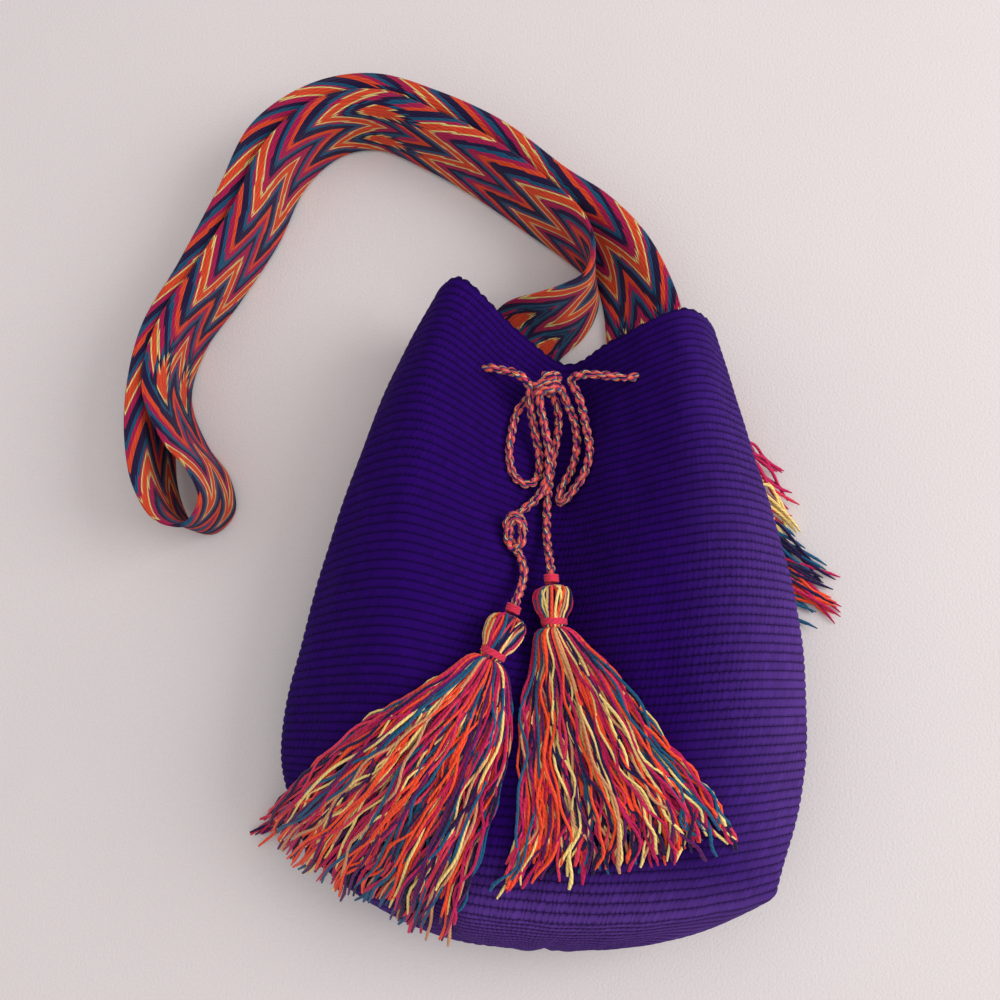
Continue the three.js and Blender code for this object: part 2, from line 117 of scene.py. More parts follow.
CORD_ROUTE = MM * np.array([
    [35, -45.3, 40.2], [34.7, -40.8, 40.2], [33.7, -34, 35.5], [32.5, -26, 30.5], [32.5, -13, 28],
    [33.5, -2, 26.5], [35, 8, 26], [37, 18, 27], [37.5, 26, 30], [35, 33, 34], [30, 35.5, 36],
    [25.5, 32, 34.5], [21, 27, 33], [18.5, 18, 33.5], [17.5, 8, 34.5], [19, 0, 34], [24, -4, 31.5],
    [28.5, -1, 28.5], [29.5, 8, 28.5], [28, 17, 31], [26.5, 27, 37], [26, 36, 42], [21.5, 40, 43],
    [15, 42, 42.5], [10.5, 43, 42.5], [7, 43.5, 39.5], [4, 46, 33], [-6, 52, 23], [-1, 54, 17],
    [16, 50, 14], [38, 42, 12], [62, 44, 14], [82, 49, 17], [88, 48, 28], [78, 42, 36],
    [71.5, 38.5, 40], [66, 37, 43], [58, 38, 43.5], [48, 39, 42.5], [43.5, 38, 39.5], [46.5, 31, 36],
    [49, 20, 32.5], [50.5, 10, 33], [48.5, 1, 32.5], [43, -7, 30], [38, -11.5, 28.5],
    [38.5, -5, 27.5], [42.5, 2, 28], [45, 11, 29], [44.5, 21, 30.5], [41.5, 29, 33.5],
    [37.5, 36.5, 38.5], [32.5, 37, 42], [30.5, 30, 40], [32, 20, 35], [33.5, 10, 31.5], [33, 0, 31],
    [29, -9, 30.5], [23, -15, 33.5], [18.5, -21, 37.5], [18.5, -28, 38.5], [22, -34, 38],
    [24, -41, 40], [23, -48.5, 45.5], [21.5, -53.6, 50], [19.9, -57.8, 50],
])
LEFT_EYELET = 25
RIGHT_EYELET = 36

# Where the loose yarns past each sewn end of the strap finish, from its crest's side to its foot's.

LOOSE_TIPS = {
    "right": MM * np.array([[131, 5, 3], [134, -20, 2], [140, -36, 2], [151, -50, 2], [141, -57, 2]]),
    "left": MM * np.array([[-46, -20, 2], [-49, -32, 2], [-49, -44, 2], [-46, -54, 2], [-38, -60, 2]]),
}

# The outline of a tassel's head: shares of its length, in thousandths, and its radius, in metres.

HEAD_OUTLINE = MM * np.array([
    [0, 1.6], [0.08, 4.2], [0.2, 6.4], [0.42, 7.4], [0.64, 6.6], [0.8, 4.6], [1, 3.7],
])

# ---- Mesh and curve helpers --------------------------------------------------------------------


def srgb(red: float, green: float, blue: float) -> tuple[float, float, float, float]:
    """A screen colour, 0 to 255 a channel, as the linear colour that a shader takes.

    Args:
        red: the red channel.
        green: the green channel.
        blue: the blue channel.

    Returns:
        Linear red, green, blue and an alpha of 1.
    """
    channels = [c / 255 for c in (red, green, blue)]
    linear = [c / 12.92 if c <= 0.04045 else ((c + 0.055) / 1.055) ** 2.4 for c in channels]
    return (*linear, 1.0)


def spline(points: np.ndarray, shares: np.ndarray, closed: bool = False) -> np.ndarray:
    """A centripetal Catmull-Rom curve, or several at once.

    Args:
        points: the points to pass through, with the curve's own direction first and x, y, z last.
        shares: places along the curve, from 0 to 1.
        closed: whether the last point joins the first.

    Returns:
        The curve's points, one row for each share.
    """
    count = len(points)
    spans = count if closed else count - 1
    place = np.clip(np.asarray(shares, float), 0.0, 1.0) * spans
    first = np.minimum(place.astype(int), spans - 1)
    weight = (place - first).reshape((-1,) + (1,) * (points.ndim - 1))
    if closed:
        p0, p1, p2, p3 = (points[(first + k) % count] for k in (-1, 0, 1, 2))
    else:
        ends = (2 * points[:1] - points[1:2], points, 2 * points[-1:] - points[-2:-1])
        padded = np.concatenate(ends)
        p0, p1, p2, p3 = (padded[first + k] for k in (0, 1, 2, 3))
    pairs = ((p0, p1), (p1, p2), (p2, p3))
    gaps = [np.sqrt(np.linalg.norm(b - a, axis=-1, keepdims=True)) for a, b in pairs]
    d0, d1, d2 = (np.maximum(gap, 1e-6) for gap in gaps)
    start = ((p1 - p0) / d0 - (p2 - p0) / (d0 + d1) + (p2 - p1) / d1) * d1
    end = ((p2 - p1) / d1 - (p3 - p1) / (d1 + d2) + (p3 - p2) / d2) * d1
    cubic = 2 * p1 - 2 * p2 + start + end
    square = -3 * p1 + 3 * p2 - 2 * start - end
    return p1 + start * weight + square * weight**2 + cubic * weight**3


def lengths_along(points: np.ndarray) -> np.ndarray:
    """The distance along a line of points at each of them, from 0 at the first."""
    return np.concatenate([[0.0], np.cumsum(np.linalg.norm(np.diff(points, axis=0), axis=1))])


def evenly(points: np.ndarray, count: int) -> np.ndarray:
    """The same line with its points evenly spaced.

    Args:
        points: the line, finely sampled.
        count: how many points to return.

    Returns:
        The evenly spaced points.
    """
    along = lengths_along(points)
    wanted = np.linspace(0, along[-1], count)
    return np.stack([np.interp(wanted, along, points[:, axis]) for axis in range(3)], axis=1)


def unit(vectors: np.ndarray) -> np.ndarray:
    """The vectors scaled to length 1."""
    return vectors / np.maximum(np.linalg.norm(vectors, axis=-1, keepdims=True), 1e-12)


def smoothstep(value: np.ndarray, low: float, high: float) -> np.ndarray:
    """A smooth rise from 0 at low to 1 at high."""
    share = np.clip((value - low) / (high - low), 0.0, 1.0)
    return share * share * (3 - 2 * share)


def cross_frames(path: np.ndarray) -> tuple[np.ndarray, np.ndarray]:
    """Two directions across a path at each point, carried along it without twist.

    Args:
        path: the points of the path.

    Returns:
        The two directions across it, one row for each point.
    """
    heading = unit(np.gradient(path, axis=0))
    side = np.zeros_like(path)
    start = np.cross(heading[0], [0.0, 0.0, 1.0])
    side[0] = unit(start if np.linalg.norm(start) > 1e-3 else np.array([1.0, 0.0, 0.0]))
    for i in range(1, len(path)):
        side[i] = unit(side[i - 1] - heading[i] * np.dot(side[i - 1], heading[i]))
    return side, np.cross(heading, side)


@dataclass
class MeshPlan:
    """Vertices, four-sided faces and their UVs, gathered before they become one mesh.

    A tube's first and last rings are narrowed to the share of its radius that tube_end gives.
    """

    vertices: list[np.ndarray] = field(default_factory=list)
    faces: list[np.ndarray] = field(default_factory=list)
    uvs: list[np.ndarray] = field(default_factory=list)
    slots: list[np.ndarray] = field(default_factory=list)
    count: int = 0
    tube_end: float = 0.35

    def add_grid(
        self, grid: np.ndarray, across: np.ndarray, along: np.ndarray, wrap: bool, slot: int = 0
    ) -> None:
        """Adds a grid of points as four-sided faces.

        Args:
            grid: the points, as rows of columns.
            across: the U value at each column, with one more for the joining column of a closed grid.
            along: the V value at each row.
            wrap: whether the last column joins the first.
            slot: the index of the faces' material.
        """
        rows, columns = grid.shape[:2]
        steps = columns if wrap else columns - 1
        row, column = np.meshgrid(np.arange(rows - 1), np.arange(steps), indexing="ij")
        right = (column + 1) % columns
        corners = [row * columns + column, row * columns + right]
        corners += [(row + 1) * columns + right, (row + 1) * columns + column]
        self.faces.append(np.stack(corners, axis=-1).reshape(-1, 4) + self.count)
        us = [across[column], across[column + 1], across[column + 1], across[column]]
        vs = [along[row], along[row], along[row + 1], along[row + 1]]
        self.uvs.append(np.stack([np.stack(us, -1), np.stack(vs, -1)], axis=-1).reshape(-1, 2))
        self.slots.append(np.full(len(self.faces[-1]), slot))
        self.vertices.append(grid.reshape(-1, 3))
        self.count += rows * columns

    def add_tube(self, path: np.ndarray, radius: np.ndarray | float, sides: int, slot: int = 0) -> None:
        """Adds a round tube with narrowed ends along a path.

        Args:
            path: the points of its centre line.
            radius: its radius, or one for each point.
            sides: how many sides it has.
            slot: the index of its material.
        """
        first, second = cross_frames(path)
        angle = np.linspace(0, 2 * math.pi, sides, endpoint=False)
        size = np.broadcast_to(np.asarray(radius, float), (len(path),)).copy()
        size[0] *= self.tube_end
        size[-1] *= self.tube_end
        turned = first[:, None] * np.cos(angle)[:, None] + second[:, None] * np.sin(angle)[:, None]
        grid = path[:, None] + size[:, None, None] * turned
        self.add_grid(grid, np.linspace(0, 1, sides + 1), lengths_along(path) / MM, True, slot)

    def make(self, name: str, materials: list[bpy.types.Material]) -> bpy.types.Object:
        """Makes the object.

        Args:
            name: the object's name.
            materials: the materials, in the order of the slots.

        Returns:
            The new object, smooth shaded and linked to the scene.
        """
        vertices = np.concatenate(self.vertices)
        faces = np.concatenate(self.faces)
        mesh = bpy.data.meshes.new(name)
        mesh.vertices.add(len(vertices))
        mesh.vertices.foreach_set("co", vertices.astype(np.float32).ravel())
        mesh.loops.add(faces.size)
        mesh.loops.foreach_set("vertex_index", faces.astype(np.int32).ravel())
        mesh.polygons.add(len(faces))
        mesh.polygons.foreach_set("loop_start", np.arange(0, faces.size, 4, dtype=np.int32))
        layer = mesh.uv_layers.new(name="yarn")
        layer.data.foreach_set("uv", np.concatenate(self.uvs).astype(np.float32).ravel())
        mesh.polygons.foreach_set("material_index", np.concatenate(self.slots).astype(np.int32))
        mesh.polygons.foreach_set("use_smooth", np.ones(len(faces), dtype=bool))
        mesh.update(calc_edges=True)
        mesh.validate()
        for material in materials:
            mesh.materials.append(material)
        piece = bpy.data.objects.new(name, mesh)
        bpy.context.scene.collection.objects.link(piece)
        return piece


# ---- Finishes ------------------------------------------------------------------------------------


Socket = bpy.types.NodeSocket
Value = float | Socket
Colour = tuple[float, float, float, float] | Socket


class Graph:
    """A material's node tree, with a short call for each kind of node."""

    sheen_roughness = 0.45

    def __init__(
        self, name: str, roughness: float, sheen: float, sheen_tint: tuple, gloss: float = 0.2
    ) -> None:
        """Starts a soft, matt surface.

        Args:
            name: the material's name.
            roughness: the surface's roughness.
            sheen: the weight of the soft shine that loose fibres give.
            sheen_tint: the colour of that shine.
            gloss: how strongly the surface reflects, where 0.5 is usual.
        """
        self.material = bpy.data.materials.new(name)
        self.material.use_nodes = True
        self.tree = self.material.node_tree
        self.shader = self.tree.nodes["Principled BSDF"]
        self.shader.inputs["Roughness"].default_value = roughness
        self.shader.inputs["Specular IOR Level"].default_value = gloss
        self.shader.inputs["Sheen Weight"].default_value = sheen
        self.shader.inputs["Sheen Roughness"].default_value = self.sheen_roughness
        self.shader.inputs["Sheen Tint"].default_value = sheen_tint

    def node(self, kind: str, inputs: dict, **settings: str) -> bpy.types.Node:
        """Adds a node.

        Args:
            kind: the node's type name.
            inputs: a value or a socket for each input, by name or index.
            settings: the node's own settings.

        Returns:
            The node.
        """
        node = self.tree.nodes.new(kind)
        for key, value in settings.items():
            setattr(node, key, value)
        for key, value in inputs.items():
            if isinstance(value, bpy.types.NodeSocket):
                self.tree.links.new(value, node.inputs[key])
            else:
                node.inputs[key].default_value = value
        return node

    def math(self, operation: str, *values: Value) -> Socket:
        """The result of a Math node on up to three values or sockets."""
        return self.node("ShaderNodeMath", dict(enumerate(values)), operation=operation).outputs[0]

    def uv(self) -> tuple[Socket, Socket]:
        """Reads the piece's own UV map.

        Returns:
            Its two coordinates.
        """
        place = self.node("ShaderNodeUVMap", {}, uv_map="yarn")
        parts = self.node("ShaderNodeSeparateXYZ", {0: place.outputs[0]})
        return parts.outputs[0], parts.outputs[1]

    def point(self, x: Value, y: Value, z: Value = 0.0) -> Socket:
        """A vector from three values or sockets."""
        return self.node("ShaderNodeCombineXYZ", {0: x, 1: y, 2: z}).outputs[0]

    def place(self) -> Socket:
        """The position on the piece, in metres."""
        return self.node("ShaderNodeTexCoord", {}).outputs["Object"]

    def noise(self, where: Socket, scale: float, detail: float = 2.0) -> Socket:
        """Smooth noise, from 0 to 1, at a position."""
        inputs = {"Vector": where, "Scale": scale, "Detail": detail}
        return self.node("ShaderNodeTexNoise", inputs).outputs[0]

    def cell(self, value: Value) -> tuple[Socket, Socket]:
        """The whole part of a value, and how far past it the value is."""
        return self.math("FLOOR", value), self.math("FRACT", value)

    def arch(self, value: Value) -> Socket:
        """A rounded rise that is 0 where the value is 0 or 1, and 1 half way."""
        return self.math("SINE", self.math("MULTIPLY", value, math.pi))

    def fibres(self, height: Value, fineness: float, share: float) -> Socket:
        """A relief with the yarn's fine loose fibres added."""
        return self.math("MULTIPLY_ADD", self.noise(self.place(), fineness), share, height)

    def blend(self, share: Value, first: Colour, second: Colour) -> Socket:
        """A mix of two colours."""
        mix = self.node("ShaderNodeMix", {0: share, 6: first, 7: second}, data_type="RGBA")
        return mix.outputs[2]

    def bands(self, place: Value, stops: list[tuple[float, tuple]]) -> Socket:
        """A run of colours that meet at hard edges.

        Args:
            place: where in the run, from 0 to 1.
            stops: where each colour starts, and the colour.

        Returns:
            The colour.
        """
        node = self.node("ShaderNodeValToRGB", {0: place})
        ramp = node.color_ramp
        ramp.interpolation = "CONSTANT"
        while len(ramp.elements) < len(stops):
            ramp.elements.new(1.0)
        for element, (start, colour) in zip(ramp.elements, stops):
            element.position = start
            element.color = colour
        return node.outputs[0]

    def ramp(self, value: Value, low: float, high: float) -> Socket:
        """A smooth rise from 0 where the value is low to 1 where it is high."""
        inputs = {"Value": value, "From Min": low, "From Max": high}
        return self.node("ShaderNodeMapRange", inputs, interpolation_type="SMOOTHSTEP").outputs[0]

    def shade(self, colour: Colour, low: float, high: float, share: Value) -> Socket:
        """Darkens or lightens a colour.

        Args:
            colour: the colour.
            low: the factor where the share is 0.
            high: the factor where it is 1.
            share: the place between the two.

        Returns:
            The shaded colour.
        """
        value = self.math("MULTIPLY_ADD", share, high - low, low)
        inputs = {"Color": colour, "Value": value, "Hue": 0.5, "Saturation": 1.0, "Fac": 1.0}
        return self.node("ShaderNodeHueSaturation", inputs).outputs[0]

    def finish(self, colour: Socket, height: Socket, distance: float) -> bpy.types.Material:
        """Connects the surface.

        Args:
            colour: its colour.
            height: the height of its relief, from 0 to 1.
            distance: how deep that relief is, in metres.

        Returns:
            The finished material.
        """
        self.tree.links.new(colour, self.shader.inputs["Base Color"])
        bump = self.node("ShaderNodeBump", {"Height": height, "Distance": distance, "Strength": 1.0})
        self.tree.links.new(bump.outputs[0], self.shader.inputs["Normal"])
        return self.material


class Yarn(Enum):
    """The dyed yarns of the strap and the tassels, as screen colours."""

    ORANGE = (246, 78, 40)
    CRIMSON = (190, 18, 84)
    YELLOW = (244, 214, 130)
    TEAL = (12, 88, 126)
    NAVY = (30, 12, 66)
    ROSE = (222, 50, 84)
    PLUM = (84, 14, 88)
    TAN = (206, 146, 104)

    def colour(self) -> tuple[float, float, float, float]:
        """The yarn's linear colour."""
        return srgb(*self.value)

    def slot(self) -> int:
        """The index of the yarn's material among those of all the yarns."""
        return list(Yarn).index(self)


@dataclass(frozen=True)
class CrochetFinish:
    """Rows of tight crochet in one deep violet yarn. U counts stitches and V counts rows.

    Each row's stitches lean, and are shifted against the row below. They are a little uneven. Between
    them the relief drops, more where the crochet is loose, and the colour is darkened there as painted
    shade. Towards the bag's right-hand side and its base the violet is painted lighter and greyer, as a
    painted sheen of the light.
    """

    body: tuple = (38, 0, 93)
    # A lighter, greyer violet: painted sheen of the light from the right.
    painted_sheen: tuple = (82, 50, 126)
    # The dark violet painted into the low parts of the relief, as shade between rows and stitches.
    deep: tuple = (17, 0, 44)
    sheen: tuple = (140, 100, 190)
    relief: float = 0.0007
    row_shift: float = 0.382
    lean: float = 0.55
    unevenness: float = 2.4
    rib_power: float = 0.4
    stitch_power: float = 0.7
    gap_reach: float = 1.22
    tight_gap: float = -0.3
    loose_gap: float = -0.75
    # Where the painted sheen rises from none to full: x at the right-hand side, then y towards the base.
    painted_sheen_side: tuple = (0.075, 0.15)
    painted_sheen_base: tuple = (-0.14, -0.18)

    def material(self) -> bpy.types.Material:
        """Makes the crochet's material.

        Returns:
            The material, painted lighter and greyer at the bag's right-hand side and its base as a sheen of
            the light.
        """
        graph = Graph("crochet", 0.85, 0.02, srgb(*self.sheen), 0.08)
        u, v = graph.uv()
        row, across_row = graph.cell(v)
        stitch, across_stitch = graph.cell(self.stitch_count(graph, u, row, across_row))
        height = self.height(graph, across_row, across_stitch)
        # Painted shade: where the relief is low, between rows and stitches, the colour darkens to the deep
        # violet.
        colour = graph.blend(height, srgb(*self.deep), self.dye_and_painted_sheen(graph))
        colour = graph.shade(colour, 0.75, 1.25, graph.noise(graph.point(stitch, row), 1.7, 0.0))
        colour = graph.shade(colour, 0.8, 1.2, graph.noise(graph.place(), 22.0, 3.0))
        return graph.finish(colour, height, self.relief)

    def stitch_count(self, graph: Graph, u: Socket, row: Socket, across_row: Socket) -> Socket:
        """Counts the stitches along a row.

        Args:
            graph: the material's graph.
            u: the even count of stitches.
            row: the row's number.
            across_row: the place across the row, from 0 to 1.

        Returns:
            The count, shifted, slanted and a little uneven.
        """
        shift = graph.math("MULTIPLY", row, self.row_shift)
        uneven = graph.noise(graph.point(graph.math("MULTIPLY", u, 0.45), row), 1.0, 1.0)
        jitter = graph.math("MULTIPLY", uneven, self.unevenness)
        lean = graph.math("MULTIPLY", across_row, self.lean)
        return graph.math("ADD", graph.math("ADD", u, shift), graph.math("ADD", lean, jitter))

    def height(self, graph: Graph, across_row: Socket, across_stitch: Socket) -> Socket:
        """The relief of a stitch.

        Args:
            graph: the material's graph.
            across_row: the place across the row, from 0 to 1.
            across_stitch: the place across the stitch, from 0 to 1.

        Returns:
            The height, about 0 to 1.
        """
        rib = graph.arch(across_row)
        soft_rib = graph.math("POWER", graph.math("MAXIMUM", rib, 0.001), self.rib_power)
        stitch = graph.math("MAXIMUM", graph.arch(across_stitch), 0.001)
        between = graph.math("SUBTRACT", 1.0, graph.math("POWER", stitch, self.stitch_power))
        gap = graph.math("MULTIPLY", between, graph.math("SUBTRACT", self.gap_reach, rib))
        looseness = graph.ramp(graph.noise(graph.place(), 16.0, 1.0), 0.35, 0.7)
        depth = graph.math("MULTIPLY_ADD", looseness, self.loose_gap, self.tight_gap)
        crochet = graph.math("MULTIPLY", soft_rib, graph.math("MULTIPLY_ADD", gap, depth, 1.0))
        return graph.fibres(crochet, 2600.0, 0.3)

    def dye_and_painted_sheen(self, graph: Graph) -> Socket:
        """The yarn's colour over the bag, with a painted sheen of the light.

        Args:
            graph: the material's graph.

        Returns:
            The colour, painted lighter and greyer towards the right-hand side and the base as sheen.
        """
        place = graph.node("ShaderNodeSeparateXYZ", {0: graph.place()})
        at_side = graph.ramp(place.outputs[0], *self.painted_sheen_side)
        at_base = graph.ramp(place.outputs[1], *self.painted_sheen_base)
        # Painted sheen: the greater of the two ramps, at the right-hand side and towards the base.
        painted_sheen_share = graph.math("MAXIMUM", at_side, at_base)
        return graph.blend(painted_sheen_share, srgb(*self.body), srgb(*self.painted_sheen))


@dataclass(frozen=True)
class PlaitFinish:
    """Zigzags of five yarns, plaited in slanted stitches. U and V are millimetres across and along.

    The zigzag has four arms across the strap. Its bands of yarn drift a little along it, and leaves lie
    at intervals down both halves. Each table gives where a band starts, and its yarn.
    """

    stitch_width: float = 1.3
    stitch_length: float = 1.9
    repeat: float = 50.0
    swing: float = 26.0
    half_width: float = 17.5
    drift: float = 22.0
    drift_length: float = 90.0
    leaf_spacing: float = 3.3
    leaf_half_length: float = 19.0
    leaf_half_width: float = 6.0
    leaf_edge: float = 0.99
    relief: float = 0.0006
    zigzag: tuple = (
        (0.0, Yarn.ORANGE), (0.14, Yarn.YELLOW), (0.185, Yarn.CRIMSON), (0.31, Yarn.NAVY),
        (0.4, Yarn.TEAL), (0.49, Yarn.CRIMSON), (0.58, Yarn.ORANGE), (0.68, Yarn.NAVY),
        (0.83, Yarn.TEAL), (0.91, Yarn.CRIMSON), (0.96, Yarn.YELLOW),
    )
    leaf_bands: tuple = (
        (0.0, Yarn.ORANGE), (0.42, Yarn.YELLOW), (0.5, Yarn.NAVY), (0.72, Yarn.TEAL), (0.86, Yarn.NAVY),
    )

    def slope(self) -> float:
        """How far along the strap the zigzag goes for each millimetre across it."""
        return 2 * self.swing / self.half_width

    def material(self) -> bpy.types.Material:
        """Makes the strap's material.

        Returns:
            The material.
        """
        graph = Graph("plait", 0.8, 0.12, srgb(230, 200, 200))
        u, v = graph.uv()
        column, past_column = graph.cell(graph.math("DIVIDE", u, self.stitch_width))
        across = graph.math("SUBTRACT", past_column, 0.5)
        stitch, past_stitch = graph.cell(self.stitch_count(graph, u, v, across))
        along = graph.math("SUBTRACT", past_stitch, 0.5)
        centre_u = graph.math("MULTIPLY", graph.math("ADD", column, 0.5), self.stitch_width)
        centre_v = graph.math("MULTIPLY", graph.math("ADD", stitch, 0.5), self.stitch_length)
        colour = self.pattern(graph, centre_u, centre_v)
        rounded = graph.math("MULTIPLY", self.rounding(graph, across), self.rounding(graph, along))
        height = graph.fibres(rounded, 2400.0, 0.2)
        # Painted shade: each stitch darkens to half towards its edges and lightens a little at its crown.
        colour = graph.shade(colour, 0.5, 1.08, graph.math("POWER", height, 0.5))
        colour = graph.shade(colour, 0.7, 1.12, graph.noise(graph.point(column, stitch), 1.3, 0.0))
        return graph.finish(colour, height, self.relief)

    def stitch_count(self, graph: Graph, u: Socket, v: Socket, across: Socket) -> Socket:
        """Counts the stitches along the strap.

        Args:
            graph: the material's graph.
            u: millimetres across the strap, from its middle.
            v: millimetres along it.
            across: the place across the stitch, from -0.5 to 0.5.

        Returns:
            The count, slanted the way that the arm of the zigzag runs.
        """
        from_edge = graph.math("ADD", u, self.half_width)
        arm = graph.math("FLOOR", graph.math("DIVIDE", from_edge, self.half_width / 2))
        direction = graph.math("MULTIPLY_ADD", graph.math("FLOORED_MODULO", arm, 2.0), -2.0, 1.0)
        lean = graph.math("MULTIPLY", across, direction)
        slant = graph.math("MULTIPLY", lean, self.stitch_width * self.slope())
        return graph.math("DIVIDE", graph.math("ADD", v, slant), self.stitch_length)

    def rounding(self, graph: Graph, offset: Socket) -> Socket:
        """A rounded bump.

        Args:
            graph: the material's graph.
            offset: the place across it, from -0.5 to 0.5.

        Returns:
            The height, 1 at offset 0 and 0 at either end.
        """
        twice = graph.math("MULTIPLY", offset, 2.0)
        square = graph.math("MULTIPLY", twice, twice)
        return graph.math("SQRT", graph.math("MAXIMUM", graph.math("SUBTRACT", 1.0, square), 0.0))

    def pattern(self, graph: Graph, u: Socket, v: Socket) -> Socket:
        """The colour of the stitch at a place.

        Args:
            graph: the material's graph.
            u: millimetres across the strap, from its middle.
            v: millimetres along it.

        Returns:
            The stitch's colour.
        """
        zigzag = graph.math("PINGPONG", graph.math("ADD", u, self.half_width), self.half_width / 2)
        rise = graph.math("MULTIPLY", zigzag, self.slope())
        along = graph.point(graph.math("DIVIDE", v, self.drift_length), 0.0)
        drift = graph.math("MULTIPLY", graph.noise(along, 1.0, 0.0), self.drift)
        shifted = graph.math("ADD", graph.math("ADD", v, rise), drift)
        phase = graph.math("FRACT", graph.math("DIVIDE", shifted, self.repeat))
        colour = graph.bands(phase, [(start, yarn.colour()) for start, yarn in self.zigzag])
        return self.leaf(graph, colour, u, v)

    def leaf(self, graph: Graph, colour: Socket, u: Socket, v: Socket) -> Socket:
        """Adds the long leaves that lie in the folds of some of the zigzags.

        Args:
            graph: the material's graph.
            colour: the colour of the zigzags.
            u: millimetres across the strap.
            v: millimetres along it.

        Returns:
            The colour with the leaves.
        """
        spacing = self.leaf_spacing * self.repeat
        aside = graph.math("SUBTRACT", graph.math("ABSOLUTE", u), self.half_width / 2)
        across = graph.math("DIVIDE", graph.math("ABSOLUTE", aside), self.leaf_half_width)
        wave = graph.math("FRACT", graph.math("DIVIDE", v, spacing))
        along = graph.math("ABSOLUTE", graph.math("SUBTRACT", wave, 0.5))
        along = graph.math("DIVIDE", along, self.leaf_half_length / spacing)
        bulge = graph.math("MULTIPLY", across, graph.math("ADD", across, 0.35))
        size = graph.math("ADD", bulge, graph.math("POWER", along, 1.3))
        leaf = graph.bands(size, [(start, yarn.colour()) for start, yarn in self.leaf_bands])
        return graph.blend(graph.math("LESS_THAN", size, self.leaf_edge), colour, leaf)


@dataclass(frozen=True)
class TwistFinish:
    """A ply of several fine yarns. U goes once round the ply and V is millimetres along it.

    The table gives where round the ply each yarn starts, and its screen colour.
    """

    lay: float = 7.0
    wander_length: float = 14.0
    strands: float = 4.0
    relief: float = 0.00035
    yarns: tuple = (
        (0.0, (232, 82, 74)), (0.18, (240, 184, 144)), (0.26, (196, 50, 96)), (0.42, (34, 24, 82)),
        (0.62, (228, 98, 78)), (0.75, (244, 204, 146)), (0.82, (32, 70, 112)), (0.94, (160, 36, 92)),
    )

    def material(self) -> bpy.types.Material:
        """Makes the drawstring's material.

        Returns:
            The material.
        """
        graph = Graph("cord", 0.78, 0.2, srgb(240, 210, 200))
        u, v = graph.uv()
        wander = graph.noise(graph.point(graph.math("DIVIDE", v, self.wander_length), u), 1.0, 1.0)
        turn = graph.math("ADD", graph.math("ADD", u, graph.math("DIVIDE", v, self.lay)), wander)
        stops = [(start, srgb(*colour)) for start, colour in self.yarns]
        colour = graph.bands(graph.math("FRACT", turn), stops)
        strand = graph.math("FRACT", graph.math("MULTIPLY", turn, self.strands))
        height = graph.fibres(graph.arch(strand), 2600.0, 0.3)
        # Painted shade: darker in the grooves between strands, a little lighter on their crowns.
        return graph.finish(graph.shade(colour, 0.6, 1.1, height), height, self.relief)


@dataclass(frozen=True)
class YarnFinish:
    """One dyed yarn of two plies. U goes once round the yarn and V is millimetres along it."""

    name: str
    colour: tuple
    lay: float = 4.4
    plies: float = 2.0
    relief: float = 0.00014

    def material(self) -> bpy.types.Material:
        """Makes the yarn's material.

        Returns:
            The material.
        """
        graph = Graph(self.name, 0.8, 0.25, srgb(235, 215, 215))
        u, v = graph.uv()
        lay = graph.math("ADD", u, graph.math("DIVIDE", v, self.lay))
        ply = graph.math("FRACT", graph.math("MULTIPLY", lay, self.plies))
        height = graph.fibres(graph.arch(ply), 3000.0, 0.35)
        # Painted shade: darker between the plies, a touch lighter on their crowns.
        colour = graph.shade(self.colour, 0.8, 1.06, height)
        colour = graph.shade(colour, 0.75, 1.2, graph.noise(graph.place(), 90.0))
        return graph.finish(colour, height, self.relief)


@dataclass
class YarnBox:
    """The yarn materials, each made once."""

    made: dict[Yarn, bpy.types.Material] = field(default_factory=dict)

    def all(self) -> list[bpy.types.Material]:
        """Makes the materials that aren't made yet.

        Returns:
            The material of each yarn, in the order of the Enum.
        """
        for yarn in Yarn:
            if yarn not in self.made:
                self.made[yarn] = YarnFinish(f"yarn_{yarn.name.lower()}", yarn.colour()).material()
        return [self.made[yarn] for yarn in Yarn]


# ---- The bag ---------------------------------------------------------------------------------


